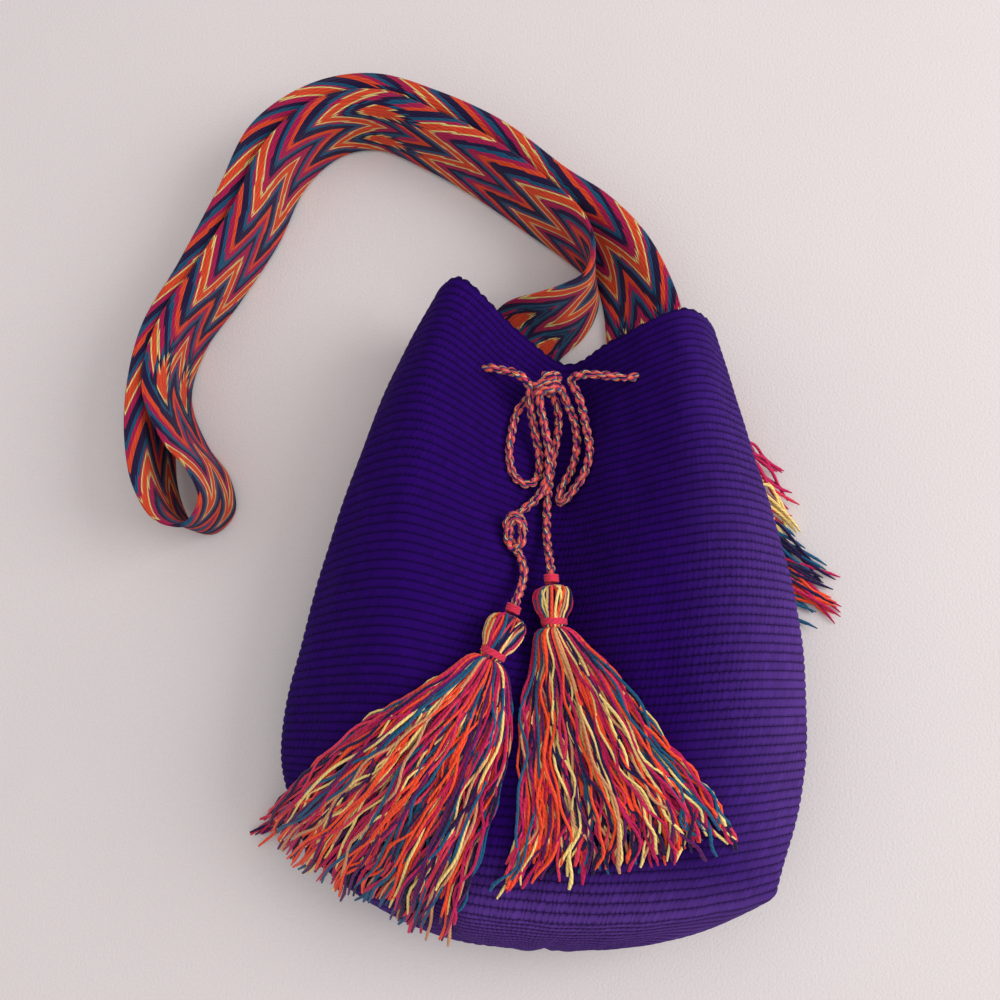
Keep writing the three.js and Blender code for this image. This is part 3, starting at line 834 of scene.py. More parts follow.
@dataclass
class BagBody:
    """The crocheted wall and base.

    The rim's table gives each closing ring's depth through the wall and its share of the scallops.
    """

    around: int = 216
    rows: int = 68
    row_steps: int = 4
    base_rows: int = 20
    base_steps: int = 3
    inner_rows: int = 34
    stitches: int = 190
    wall: float = 3.5 * MM
    rib: float = 0.42 * MM
    rib_middle: float = 0.55
    wander: float = 0.45 * MM
    base_squareness: float = 2.6
    base_middle: float = 0.02
    rim_height: float = 0.4 * MM
    scallop: float = 1.3
    rim_rings: tuple = ((-0.85, 0.7), (-0.5, 1.0), (-0.12, 0.75))
    rim_rows: tuple = (-0.7, -0.5, -0.2)

    def section(self, station: float) -> np.ndarray:
        """The wall's control points at a station, where 0 is the rim and 1 the base."""
        return np.stack([spline(guide, np.array([station]))[0] for guide in GUIDES])

    def point(self, around: float, station: float) -> np.ndarray:
        """A point of the wall's outer face.

        Args:
            around: the place round the bag, from 0 to 1.
            station: the place down it, from 0 at the rim to 1 at the base.

        Returns:
            The point.
        """
        found = spline(self.section(station), np.array([around % 1.0]), closed=True)[0]
        found[2] = max(found[2], 0.0)
        return found

    def normal(self, around: float, station: float) -> np.ndarray:
        """The outward direction of the wall.

        Args:
            around: the place round the bag, from 0 to 1.
            station: the place down it, from 0 at the rim to 1 at the base.

        Returns:
            The direction, of length 1.
        """
        step = 0.01
        across = self.point(around + step, station) - self.point(around - step, station)
        down = self.point(around, station + step) - self.point(around, station - step)
        return unit(np.cross(down, across))

    def rings(self, stations: np.ndarray) -> np.ndarray:
        """Rings of evenly spaced points round the wall.

        Args:
            stations: the station of each ring.

        Returns:
            The rings, as rows of a grid.
        """
        rings = []
        for station in stations:
            fine = spline(self.section(station), np.linspace(0, 1, 361), closed=True)
            rings.append(evenly(fine, self.around + 1)[:-1])
        grid = np.stack(rings)
        grid[..., 2] = np.maximum(grid[..., 2], 0.0)
        return grid

    def base(self, edge: np.ndarray) -> np.ndarray:
        """The rings of the base, from just inside the wall's last ring to the middle.

        Args:
            edge: the wall's last ring.

        Returns:
            The rings, as rows of a grid.
        """
        steps = self.base_rows * self.base_steps + 1
        shares = np.linspace(1, self.base_middle, steps)[1:, None, None]
        grid = BASE_CENTRE + (edge - BASE_CENTRE) * shares
        fall = shares[..., 0] ** self.base_squareness
        grid[..., 1] = BASE_CENTRE[1] + (edge[:, 1] - BASE_CENTRE[1]) * fall
        grid[..., 2] = np.maximum(grid[..., 2], 0.0)
        return grid

    def normals(self, grid: np.ndarray) -> np.ndarray:
        """The outward direction at each point of the wall.

        Args:
            grid: rings that run from the rim down.

        Returns:
            The directions, of length 1.
        """
        across = np.roll(grid, -1, axis=1) - np.roll(grid, 1, axis=1)
        down = np.gradient(grid, axis=0)
        return unit(np.cross(down, across))

    def relief(self, grid: np.ndarray, rows: np.ndarray) -> np.ndarray:
        """Raises each row of stitches into a rounded rib and lets the fabric wander a little.

        Args:
            grid: the smooth rings.
            rows: the row count at each ring.

        Returns:
            The grid with its ribs.
        """
        normal = self.normals(grid)
        phase = 2 * (rows % 1.0) - 1
        rib = self.rib * (np.sqrt(1 - phase**2) - self.rib_middle)[:, None, None]
        angle = np.linspace(0, 2 * math.pi, self.around, endpoint=False)[None, :]
        down = rows[:, None]
        wander = np.sin(9 * angle + 0.11 * down) * np.sin(0.21 * down + 2 * angle)
        wander = wander + 0.5 * np.sin(23 * angle - 0.17 * down) * np.sin(0.4 * down)
        raised = grid + normal * (rib + self.wander * wander[..., None])
        flat = np.clip(grid[..., 2:] / (2 * MM), 0, 1)
        raised = grid + (raised - grid) * np.maximum(flat, 0.25)
        raised[..., 2] = np.maximum(raised[..., 2], 0.0)
        return raised

    def rim(self, edge: np.ndarray, normal: np.ndarray, heading: np.ndarray) -> np.ndarray:
        """The small scallops that close the edge of the mouth.

        Args:
            edge: the wall's first ring.
            normal: the outward direction there.
            heading: the direction up the wall, out of the mouth.

        Returns:
            Three rings, from the inner face over the edge to the outer face.
        """
        angle = np.linspace(0, 2 * math.pi, self.around, endpoint=False)
        scallop = np.abs(np.sin(angle * self.stitches / 6))[:, None] * self.scallop * MM
        return np.stack([
            edge + normal * self.wall * depth + heading * (self.rim_height + scallop) * reach
            for depth, reach in self.rim_rings
        ])

    def outer(self) -> tuple[np.ndarray, np.ndarray]:
        """The outer face, from the rim to the middle of the base.

        Returns:
            The rings, and the count of rows at each of them.
        """
        stations = np.linspace(0, 1, self.rows * self.row_steps + 1)
        wall = self.rings(stations)
        base = self.base(wall[-1])
        base_rows = self.rows + np.arange(1, len(base) + 1) / self.base_steps
        rows = np.concatenate([stations * self.rows, base_rows])
        return self.relief(np.concatenate([wall, base]), rows), rows

    def build(self) -> bpy.types.Object:
        """Makes the bag.

        Returns:
            The piece, with the inner face, the rim and the outer face in one mesh.
        """
        outer, rows = self.outer()
        inner = self.rings(np.linspace(0, 1, self.inner_rows + 1))
        inner = inner - self.normals(inner) * self.wall
        edge = self.rings(np.array([0.0, 0.02]))
        heading = unit(edge[0] - edge[1])
        rim = self.rim(edge[0], self.normals(edge)[0], heading)
        grid = np.concatenate([inner[::-1], rim, outer])
        inner_count = np.linspace(0, self.rows, self.inner_rows + 1)[::-1]
        counts = np.concatenate([inner_count, self.rim_rows, rows])
        plan = MeshPlan()
        plan.add_grid(grid, np.linspace(0, self.stitches, self.around + 1), counts, True)
        return plan.make("bag_crochet", [CrochetFinish().material()])

    def dress(self, piece: bpy.types.Object) -> None:
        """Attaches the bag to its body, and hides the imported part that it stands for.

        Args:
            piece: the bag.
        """
        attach(piece, BODY)
        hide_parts("bag_body")


@dataclass
class HeightMap:
    """The height of what yarn lies on, over the bag and the surface round it.

    The slope is the steepest fall that a yarn follows, and it eases in over the reach.
    """

    piece: bpy.types.Object
    low: tuple[float, float] = (-0.12, -0.21)
    high: tuple[float, float] = (0.18, 0.10)
    step: float = 2.0 * MM
    slope: float = 1.1
    reach: float = 14.0 * MM
    above: float = 0.2

    def __post_init__(self) -> None:
        """Measures the bag from above, then lets the fall at its sides ease off as yarn does."""
        tree = BVHTree.FromPolygons(
            [tuple(v.co) for v in self.piece.data.vertices],
            [tuple(p.vertices) for p in self.piece.data.polygons],
        )
        self.xs = np.arange(self.low[0], self.high[0], self.step)
        self.ys = np.arange(self.low[1], self.high[1], self.step)
        bare = np.zeros((len(self.xs), len(self.ys)))
        for i, x in enumerate(self.xs):
            for j, y in enumerate(self.ys):
                hit = tree.ray_cast(Vector((x, y, self.above)), Vector((0, 0, -1)))[0]
                bare[i, j] = hit.z if hit else 0.0
        eased = bare.copy()
        span = int(self.reach / self.step)
        for i in range(-span, span + 1):
            for j in range(-span, span + 1):
                away = math.hypot(i, j) * self.step
                if away <= self.reach:
                    near = np.roll(bare, (i, j), axis=(0, 1)) - self.slope * away
                    eased = np.maximum(eased, near)
        self.eased = eased

    def at(self, points: np.ndarray) -> np.ndarray:
        """The eased height under each point.

        Args:
            points: the points.

        Returns:
            A height for each point, in metres.
        """
        i = np.clip((points[:, 0] - self.low[0]) / self.step, 0, len(self.xs) - 2)
        j = np.clip((points[:, 1] - self.low[1]) / self.step, 0, len(self.ys) - 2)
        a, b = i.astype(int), j.astype(int)
        s, t = i - a, j - b
        left = self.eased[a, b] * (1 - t) + self.eased[a, b + 1] * t
        right = self.eased[a + 1, b] * (1 - t) + self.eased[a + 1, b + 1] * t
        return left * (1 - s) + right * s


# ---- The strap -------------------------------------------------------------------------------


@dataclass
class Strap:
    """The plaited band, sewn low on both sides of the bag."""

    bag: BagBody
    width: float = 35.0 * MM
    thickness: float = 2.6 * MM
    lip: float = 7.0 * MM
    fold: float = 10.0 * MM
    across: int = 24
    along: int = 560
    sewn_gap: float = 0.8 * MM
    floor_gap: float = 0.2 * MM
    edge: float = 0.45 * MM
    edge_pattern: float = 0.9
    edge_thinning: float = 0.45
    lowest: float = 0.1 * MM

    def free_row(self, foot: np.ndarray, heading: np.ndarray, lean: float, lip: float) -> np.ndarray:
        """Points across the band, rising from its lower edge to the crest and the lip.

        Args:
            foot: the lower edge.
            heading: the direction that the band runs in.
            lean: the face's lean in degrees.
            lip: the lean past the crest.

        Returns:
            The row of points.
        """
        side = unit(np.array([heading[1], -heading[0], 0.0]))
        reached = (np.arange(self.across) + 0.5) / self.across * self.width
        crest = self.width - self.lip
        turned = smoothstep(reached, crest - self.fold / 2, crest + self.fold / 2)
        angle = np.radians(lean + (lip - lean) * turned)[:, None]
        steps = (np.cos(angle) * side + np.sin(angle) * np.array([0, 0, 1.0])) * self.width / self.across
        return foot + np.concatenate([np.zeros((1, 3)), np.cumsum(steps, axis=0)])

    def sewn_row(self, row: list[float]) -> np.ndarray:
        """Points across the band where it is sewn to the wall.

        Args:
            row: the place and the station of its foot, then those of its crest.

        Returns:
            The row of points.
        """
        foot, foot_station, crest, crest_station = row
        points = []
        for share in np.linspace(0, 1, self.across + 1):
            around = foot + (crest - foot) * share
            station = foot_station + (crest_station - foot_station) * share
            off = self.thickness / 2 + self.sewn_gap
            point = self.bag.point(around, station) + self.bag.normal(around, station) * off
            point[2] = max(point[2], self.thickness / 2 + self.floor_gap)
            points.append(point)
        return np.stack(points)

    def surface(self) -> np.ndarray:
        """The band's middle surface, evenly spaced along its length.

        Returns:
            The rows of points, from the right end to the left one.
        """
        feet = BAND_ROUTE[:, :3] * MM
        ahead = np.concatenate([feet[1:], feet[-1:]]) - np.concatenate([feet[:1], feet[:-1]])
        rows = [self.sewn_row(row) for row in SEWN_ROWS["right"]]
        for foot, heading, (lean, lip) in zip(feet, ahead, BAND_ROUTE[:, 3:]):
            rows.append(self.free_row(foot, heading, lean, lip))
        rows += [self.sewn_row(row) for row in reversed(SEWN_ROWS["left"])]
        stacked = np.stack(rows)
        fine = spline(stacked, np.linspace(0, 1, 6 * self.along))
        middle = lengths_along(fine[:, self.across // 2])
        wanted = np.linspace(0, middle[-1], self.along + 1)
        picks = np.interp(wanted, middle, np.arange(len(middle)))
        low = np.minimum(picks.astype(int), len(fine) - 2)
        share = (picks - low)[:, None, None]
        return fine[low] * (1 - share) + fine[low + 1] * share

    def outline(self, middle: np.ndarray) -> tuple[np.ndarray, np.ndarray]:
        """The band's closed cross-sections with rounded edges.

        Args:
            middle: its middle surface.

        Returns:
            The rings of points, and millimetres across the band at each column.
        """
        across = np.gradient(middle, axis=1)
        along = np.gradient(middle, axis=0)
        normal = unit(np.cross(across, along))
        out = unit(across)
        share = np.linspace(-1, 1, self.across + 1)
        pinch = np.clip(1 - np.abs(share) ** 8 * self.edge_thinning, 0, 1)[None, :, None]
        half = self.thickness / 2 * pinch
        top = middle + normal * half
        bottom = (middle - normal * half)[:, ::-1]
        crest = middle[:, -1:] + out[:, -1:] * self.edge
        foot = middle[:, :1] - out[:, :1] * self.edge
        ring = np.concatenate([top, crest, bottom, foot], axis=1)
        ring[..., 2] = np.maximum(ring[..., 2], self.lowest)
        place = share * self.width / 2 / MM
        end = self.width / 2 / MM + self.edge_pattern
        columns = np.concatenate([place, [end], place[::-1], [-end, place[0]]])
        return ring, columns

    def build(self) -> bpy.types.Object:
        """Makes the band, and keeps its length and its middle surface.

        Returns:
            The piece.
        """
        middle = self.surface()
        ring, columns = self.outline(middle)
        along = lengths_along(middle[:, self.across // 2]) / MM
        plan = MeshPlan()
        plan.add_grid(ring, columns, along, True)
        self.length = along[-1] * MM
        self.middle = middle
        return plan.make("strap_band", [PlaitFinish().material()])

    def dress(self, piece: bpy.types.Object) -> None:
        """Args:
            piece: the band.
        """
        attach(piece, BODY)
        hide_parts("shoulder_strap")


@dataclass
class StrapEnds:
    """The yarns that run on past the strap's sewn ends, and the stitches that hold it.

    The scatters are in millimetres. A stitch's table gives shares of its reach past the strap's edge and
    its height off the wall, in millimetres, from the wall beside the strap to the strap's face.
    """

    strap: Strap
    yarns: YarnBox
    count: int = 66
    steps: int = 22
    radius: float = 0.66 * MM
    tip_scatter: tuple = (3.0, 4.0, 0.8)
    middle_scatter: float = 2.2
    sway: tuple = (1.3, 1.1, 0.4)
    stitch_count: int = 13
    stitch_radius: float = 0.55 * MM
    stitch_reach: float = 0.009
    stitch_line: tuple = ((1.0, 0.2), (0.5, 1.0), (0.0, 2.6), (-0.6, 3.5))
    random: np.random.Generator = field(default_factory=lambda: np.random.default_rng(23))
    order: tuple = (
        Yarn.CRIMSON, Yarn.CRIMSON, Yarn.ROSE, Yarn.YELLOW, Yarn.YELLOW, Yarn.TEAL, Yarn.NAVY, Yarn.TEAL,
        Yarn.NAVY, Yarn.NAVY, Yarn.CRIMSON, Yarn.ORANGE, Yarn.ORANGE, Yarn.TEAL,
    )

    def loose_line(self, side: str, share: float) -> np.ndarray:
        """The line of one loose yarn.

        Args:
            side: right or left.
            share: its place across the strap, from 0 at the crest to 1 at the foot.

        Returns:
            The line's points, from inside the strap's end to the yarn's tip.
        """
        rows = self.strap.middle[[0, 4]] if side == "right" else self.strap.middle[[-1, -5]]
        start, inside = rows[:, int((1 - share) * self.strap.across)]
        tip = spline(LOOSE_TIPS[side], np.array([share]))[0].copy()
        tip += self.random.normal(0, 1, 3) * np.array(self.tip_scatter) * MM
        tip[2] = max(tip[2], 1.0 * MM)
        middle = (start + tip) / 2 + self.random.normal(0, 1, 3) * self.middle_scatter * MM
        middle[2] = max(start[2] * 0.45, 1.5 * MM) + self.random.uniform(0, 3) * MM
        near = start * 0.8 + tip * 0.2
        near[2] = start[2] * 0.85
        along = np.linspace(0, 1, self.steps)
        path = spline(np.stack([inside, start, near, middle, tip]), along)
        wave = np.sin(np.linspace(0, 9, self.steps) + self.random.uniform(0, 6))[:, None]
        path = path + wave * along[:, None] * np.array(self.sway) * MM
        path[:, 2] = np.maximum(path[:, 2], self.radius)
        return path

    def loose(self, side: str) -> bpy.types.Object:
        """The loose yarns of one end.

        Args:
            side: right or left.

        Returns:
            The piece.
        """
        plan = MeshPlan()
        for i in range(self.count):
            share = (i + 0.5) / self.count
            yarn = self.order[int(share * len(self.order))]
            plan.add_tube(self.loose_line(side, share), self.radius, 6, yarn.slot())
        return plan.make(f"strap_yarn_ends_{side}", self.yarns.all())

    def stitches(self, side: str) -> bpy.types.Object:
        """The sewing yarn that goes over the strap's crest edge into the wall.

        Args:
            side: right or left.

        Returns:
            The piece.
        """
        plan = MeshPlan()
        bag = self.strap.bag
        rows = np.array(SEWN_ROWS[side])
        crests = np.column_stack([rows[:, 2:], np.zeros(len(rows))])
        beyond = -self.stitch_reach if side == "right" else self.stitch_reach
        for share in np.linspace(0, 1, self.stitch_count):
            around, station, _ = spline(crests, np.array([share]))[0]
            points = []
            for reach, lift in self.stitch_line:
                offset = beyond * reach
                spot = bag.point(around + offset, station + 0.2 * abs(offset))
                points.append(spot + bag.normal(around + offset, station) * lift * MM)
            path = spline(np.stack(points), np.linspace(0, 1, 9))
            plan.add_tube(path, self.stitch_radius, 6, Yarn.CRIMSON.slot())
        return plan.make(f"strap_sewing_{side}", self.yarns.all())

    def dress(self, loose: bpy.types.Object, sewing: bpy.types.Object, side: str) -> None:
        """Attaches the yarns and the stitches of one side to the body, and hides the parts that they stand
        for.

        Args:
            loose: the loose yarns.
            sewing: the stitches.
            side: right or left.
        """
        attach(loose, BODY)
        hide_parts("shoulder_strap")
        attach(sewing, BODY)
        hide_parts(f"strap_seam_{side}")


# ---- The drawstring ----------------------------------------------------------------------------


@dataclass(frozen=True)
class Knot:
    """Turns of cord round the others: their middle, half their width, length and height, and how many.

    The tilt, in radians, lays the turns down from standing round the cord to lying flat on it.
    """

    centre: np.ndarray
    width: float
    length: float
    height: float
    turns: float
    tilt: float = 0.0
    steps: int = 90

    def line(self) -> np.ndarray:
        """The centre line of the turns.

        Returns:
            Its points.
        """
        turn = np.linspace(0, 2 * math.pi * self.turns, self.steps)
        across = self.width * (1 + 0.17 * np.sin(1.7 * turn)) * np.cos(turn)
        rise = self.height * np.sin(turn)
        travel = np.linspace(-1, 1, self.steps) + 0.35 * np.cos(turn)
        along = self.length * travel + rise * math.sin(self.tilt)
        up = rise * math.cos(self.tilt)
        return np.array(self.centre) + np.stack([across, along, up], axis=1)


BOW_KNOT = Knot(
    centre=MM * np.array([33.0, 35.5, 39.5]), width=4.6 * MM, length=3.4 * MM, height=3.6 * MM, turns=2.3
)
END_KNOT = Knot(
    centre=MM * np.array([20.5, -25, 41.5]), width=3.4 * MM, length=1.2 * MM, height=6.2 * MM, turns=1.6,
    tilt=1.25,
)


@dataclass
class Drawstring:
    """The two-ply cord: one run inside the mouth, and a free end to each tassel."""

    diameter: float = 3.6 * MM
    ply: float = 1.08 * MM
    ply_overlap: float = 0.1 * MM
    pitch: float = 8.8 * MM
    step: float = 0.7 * MM
    samples: int = 3000

    def path(self, first: int, last: int) -> np.ndarray:
        """The centre line between two points of the route, in the order given.

        Args:
            first: the index where the run starts.
            last: the index where it ends.

        Returns:
            Evenly spaced points.
        """
        count = len(CORD_ROUTE) - 1
        fine = spline(CORD_ROUTE, np.linspace(first / count, last / count, self.samples))
        length = lengths_along(fine)[-1]
        return evenly(fine, int(length / self.step))

    def twisted(self, name: str, path: np.ndarray, material: bpy.types.Material) -> bpy.types.Object:
        """Two plies laid round a path.

        Args:
            name: the piece's name.
            path: the cord's centre line.
            material: the cord's material.

        Returns:
            The piece.
        """
        side, up = cross_frames(path)
        turn = lengths_along(path) / self.pitch * 2 * math.pi
        offset = self.diameter / 2 - self.ply + self.ply_overlap
        plan = MeshPlan()
        for start in (0.0, math.pi):
            angle = (turn + start)[:, None]
            around = side * np.cos(angle) + up * np.sin(angle)
            plan.add_tube(path + around * offset, self.ply, 8)
        return plan.make(name, [material])

    def build(self) -> dict[str, tuple[bpy.types.Object, np.ndarray]]:
        """Makes the runs and the knots.

        Returns:
            Each piece with its centre line, by name.
        """
        material = TwistFinish().material()
        runs = {
            "cord_to_right_tassel": self.path(LEFT_EYELET, 0),
            "cord_to_left_tassel": self.path(RIGHT_EYELET, len(CORD_ROUTE) - 1),
            "cord_in_mouth": self.path(LEFT_EYELET, RIGHT_EYELET),
            "cord_knot": BOW_KNOT.line(),
            "cord_end_knot": END_KNOT.line(),
        }
        return {name: (self.twisted(name, path, material), path) for name, path in runs.items()}

    def dress(self, runs: dict, tassels: dict) -> None:
        """Args:
            runs: the runs that build made.
            tassels: the pieces at the end of each free run, by side. Not used.
        """
        for name, (piece, path) in runs.items():
            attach(piece, BODY)
            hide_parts("drawstring")
            if not name.startswith("cord_to_"):
                continue


# ---- The tassels -------------------------------------------------------------------------------


@dataclass(frozen=True)
class Strand:
    """How one open yarn of a tassel lies.

    Its place is from 0 to 1 across the fan, and its layer from 0 to 1 up through the bundle. Its reach is
    a share of the bundle's length, and its bend is how far across the fan its tip has drifted.
    """

    place: float
    layer: float
    reach: float
    bend: float


@dataclass(frozen=True)
class Winding:
    """Close turns of yarn: the radius of their centre line, how many, and how far they run."""

    radius: float
    turns: int
    length: float
    yarn: Yarn = Yarn.ROSE
    yarn_radius: float = 0.6 * MM


TIE = Winding(radius=4.7 * MM, turns=3, length=2.2 * MM)
WRAP = Winding(radius=2.5 * MM, turns=3, length=3.0 * MM)


@dataclass
class Tassel:
    """A bundle of yarns: looped over the cord's end, tied at the neck, and open below it.

    The head's line runs from the cord to the neck. The near and the far line are the two edges of the
    fan. The weights are each yarn's share of the bundle, in the order of the Enum.
    """

    side: str
    head: np.ndarray
    near: np.ndarray
    far: np.ndarray
    heights: HeightMap
    yarns: YarnBox
    seed: int
    strands: int = 270
    looped: int = 66
    radius: float = 0.58 * MM
    steps: int = 30
    head_steps: int = 22
    head_sides: int = 24
    line_steps: int = 40
    core_inset: float = 1.5 * MM
    tie_place: float = 0.9
    usual_reach: tuple = (0.82, 1.03)
    odd_reach: tuple = (0.7, 1.06)
    neck_width: float = 7.6
    weights: tuple = (0.17, 0.23, 0.11, 0.12, 0.12, 0.1, 0.1, 0.05)

    def __post_init__(self) -> None:
        """Sets the seeded choice of yarns and lifts the head's line to its height."""
        self.random = np.random.default_rng(self.seed)
        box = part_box(f"tassel_wrap_{self.side}")
        middle = (box[0][2] + box[1][2]) / 2
        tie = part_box(f"tassel_tie_{self.side}")
        tied = (tie[0][2] + tie[1][2]) / 2
        shares = np.linspace(0, 1, self.line_steps)
        self.line = spline(self.head, shares)
        self.line[:, 2] = middle + (tied - middle) * smoothstep(shares, 0.1, 0.9)

    def yarn(self) -> int:
        """The slot of a yarn picked by its share of the bundle."""
        return int(self.random.choice(len(self.weights), p=self.weights))

    def head_radii(self, shares: np.ndarray) -> np.ndarray:
        """The head's radius along it.

        Args:
            shares: the places along the head, from 0 to 1.

        Returns:
            The radius at each place, in metres.
        """
        outline = np.column_stack([HEAD_OUTLINE, np.zeros(len(HEAD_OUTLINE))])
        fine = spline(outline, np.linspace(0, 1, 90))
        return np.interp(shares, fine[:, 0] / MM, fine[:, 1])

    def add_core(self, plan: MeshPlan, centre: np.ndarray, radii: np.ndarray) -> None:
        """Fills the head under its yarns, so that nothing shows through between them.

        Args:
            plan: the head's mesh so far.
            centre: the head's centre line.
            radii: the head's radius along it.
        """
        side, up = cross_frames(centre)
        inner = (radii - self.core_inset)[:, None]
        angles = np.linspace(0, 2 * math.pi, self.head_sides + 1)
        columns = [centre + (side * math.cos(a) + up * math.sin(a)) * inner for a in angles[:-1]]
        across = np.linspace(0, 6, self.head_sides + 1)
        along = np.linspace(0, self.head_steps, self.head_steps)
        plan.add_grid(np.stack(columns, axis=1), across, along, True, Yarn.NAVY.slot())

    def bulb(self) -> bpy.types.Object:
        """The head: yarn after yarn looped over the cord's end and down to the neck.

        Returns:
            The piece.
        """
        shares = np.linspace(0, 1, self.head_steps)
        radii = self.head_radii(shares)
        centre = self.line[np.round(shares * (self.line_steps - 1)).astype(int)]
        side, up = cross_frames(centre)
        plan = MeshPlan()
        self.add_core(plan, centre, radii)
        bow = np.sin(math.pi * shares)
        for i in range(self.looped):
            start = 2 * math.pi * (i + self.random.uniform(-0.6, 0.6)) / self.looped
            sway = self.random.uniform(0.1, 0.35) * np.sin(3.4 * shares + self.random.uniform(0, 6))
            angle = start + 0.35 * shares + sway * bow
            lift = self.random.uniform(-1.1, 0.5) * MM * bow**0.5
            across = side * np.cos(angle)[:, None] + up * np.sin(angle)[:, None]
            plan.add_tube(centre + across * (radii + lift)[:, None], self.radius, 6, self.yarn())
        return plan.make(f"tassel_head_{self.side}", self.yarns.all())

    def waves(self, share: np.ndarray) -> np.ndarray:
        """How far a yarn wanders from a straight run, at each share of its length.

        Args:
            share: the places along the yarn.

        Returns:
            The sideways and the upward wander, in metres.
        """
        offsets = []
        for size in (1.7, 0.7):
            turns = self.random.uniform(1.4, 3.2)
            second = self.random.uniform(3.5, 6.5)
            first = np.sin(2 * math.pi * (turns * share + self.random.uniform(0, 1)))
            finer = np.sin(2 * math.pi * (second * share + self.random.uniform(0, 1)))
            offsets.append(size * (first + 0.4 * finer) * self.random.uniform(0.35, 1.35) * MM)
        return np.stack(offsets, axis=1) * smoothstep(share, 0.04, 0.45)[:, None]

    def strand(self, index: int) -> Strand:
        """Picks how one open yarn lies.

        Args:
            index: its number across the fan.

        Returns:
            Its place, layer, reach and bend.
        """
        place = np.clip((index + self.random.uniform(0.0, 1.0)) / self.strands, 0.0, 1.0)
        layer = self.random.uniform(0, 1) ** 0.8
        usual = self.random.uniform() < 0.85
        reach = self.random.uniform(*(self.usual_reach if usual else self.odd_reach))
        bend = np.clip(self.random.normal(0, 0.09), -0.2, 0.2)
        return Strand(place, layer, reach, bend)

    def fanned(self, strand: Strand, share: np.ndarray) -> np.ndarray:
        """An open yarn's line seen from above: out of the neck, then into its place in the fan.

        Args:
            strand: how the yarn lies.
            share: the places along it.

        Returns:
            The line's points, at the height of the neck or lower.
        """
        where = np.clip(strand.place + strand.bend * share**1.3, 0.0, 1.0)
        near = spline(self.near, share * min(strand.reach, 1.0))
        far = spline(self.far, share * min(strand.reach, 1.0))
        path = near + (far - near) * where[:, None]
        path += np.maximum(strand.reach - 1, 0) * share[:, None] * 90 * MM * unit(path[-1] - path[-5])
        neck = self.line[-1]
        heading = unit(neck - self.line[-6])
        aside = unit(np.array([-heading[1], heading[0], 0])) * (strand.place - 0.5)
        start = neck + aside * self.neck_width * MM + heading * share[:, None] * 22 * MM
        spread = aside * 12 * MM * np.sin(math.pi * np.clip(share / 0.3, 0, 1))[:, None]
        ease = smoothstep(share, 0.0, 0.24)[:, None]
        return (start + spread) * (1 - ease) + path * ease

    def resting(self, strand: Strand, share: np.ndarray, path: np.ndarray) -> np.ndarray:
        """An open yarn's height: that of the neck at first, then its layer's height over the bag.

        Args:
            strand: how the yarn lies.
            share: the places along it.
            path: its line seen from above.

        Returns:
            The height at each place, in metres.
        """
        ground = self.heights.at(path) + self.radius + 1.2 * MM
        full = 1 - 0.6 * abs(2 * strand.place - 1) ** 3
        thick = (2.2 + 7.2 * (1 - share) ** 0.7 * full) * MM
        puff = np.sin(math.pi * np.clip(share / 0.25, 0, 1))
        top = self.line[-1][2] + (strand.layer - 0.5) * 7.4 * MM + 2.0 * strand.layer * MM * puff
        rise = smoothstep(share, 0.0, 0.2)
        return top * (1 - rise) + (ground + strand.layer * thick) * rise

    def thickness(self) -> np.ndarray:
        """The radius of an open yarn along it.

        Returns:
            The radius at each step, wider where the cut tip has frayed.
        """
        size = np.full(self.steps, self.radius * self.random.uniform(0.86, 1.14))
        size[-3:] *= (1.1, 1.45, 2.6) if self.random.uniform() < 0.35 else (1.0, 1.05, 1.9)
        return size

    def skirt(self) -> bpy.types.Object:
        """The open yarns, which spring out below the tie and lie fanned on the bag.

        Returns:
            The piece.
        """
        share = np.linspace(0, 1, self.steps)
        plan = MeshPlan()
        for i in range(self.strands):
            strand = self.strand(i)
            path = self.fanned(strand, share)
            wander = self.waves(share)
            heading = np.gradient(path, axis=0)
            across = np.stack([-heading[:, 1], heading[:, 0], np.zeros(self.steps)], axis=1)
            path += unit(across) * wander[:, :1]
            path[:, 2] = self.resting(strand, share, path) + wander[:, 1]
            path[:, 2] = np.maximum(path[:, 2], self.radius)
            plan.add_tube(path, self.thickness(), 5, self.yarn())
        return plan.make(f"tassel_yarns_{self.side}", self.yarns.all())

    def wind(
        self, name: str, centre: np.ndarray, heading: np.ndarray, winding: Winding
    ) -> bpy.types.Object:
        """Winds yarn in close turns round the bundle or the cord.

        Args:
            name: the name of the node that the winding stands for.
            centre: the middle of the turns.
            heading: the direction that they run along.
            winding: their sizes and their yarn.

        Returns:
            The piece.
        """
        side = unit(np.cross(heading, [0, 0, 1]))
        up = np.cross(side, heading)
        turn = np.linspace(0, 2 * math.pi * winding.turns, 24 * winding.turns)
        along = np.linspace(-winding.length / 2, winding.length / 2, len(turn))
        path = centre + heading * along[:, None]
        path = path + winding.radius * (side * np.cos(turn)[:, None] + up * np.sin(turn)[:, None])
        plan = MeshPlan()
        plan.add_tube(path, winding.yarn_radius, 6, winding.yarn.slot())
        return plan.make(f"{name}_yarn", self.yarns.all())

    def tie(self) -> bpy.types.Object:
        """The yarn wound round the neck.

        Returns:
            The piece.
        """
        centre = self.line[int(self.tie_place * (self.line_steps - 1))]
        heading = unit(self.line[-1] - self.line[-8])
        return self.wind(f"tassel_tie_{self.side}", centre, heading, TIE)

    def wrap(self) -> bpy.types.Object:
        """The yarn wound round the cord where it goes into the head.

        Returns:
            The piece.
        """
        name = f"tassel_wrap_{self.side}"
        centre = (np.array(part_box(name)[0]) + np.array(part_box(name)[1])) / 2
        heading = unit((self.line[3] - self.line[0]) * np.array([1, 1, 0]))
        return self.wind(name, centre, heading, WRAP)

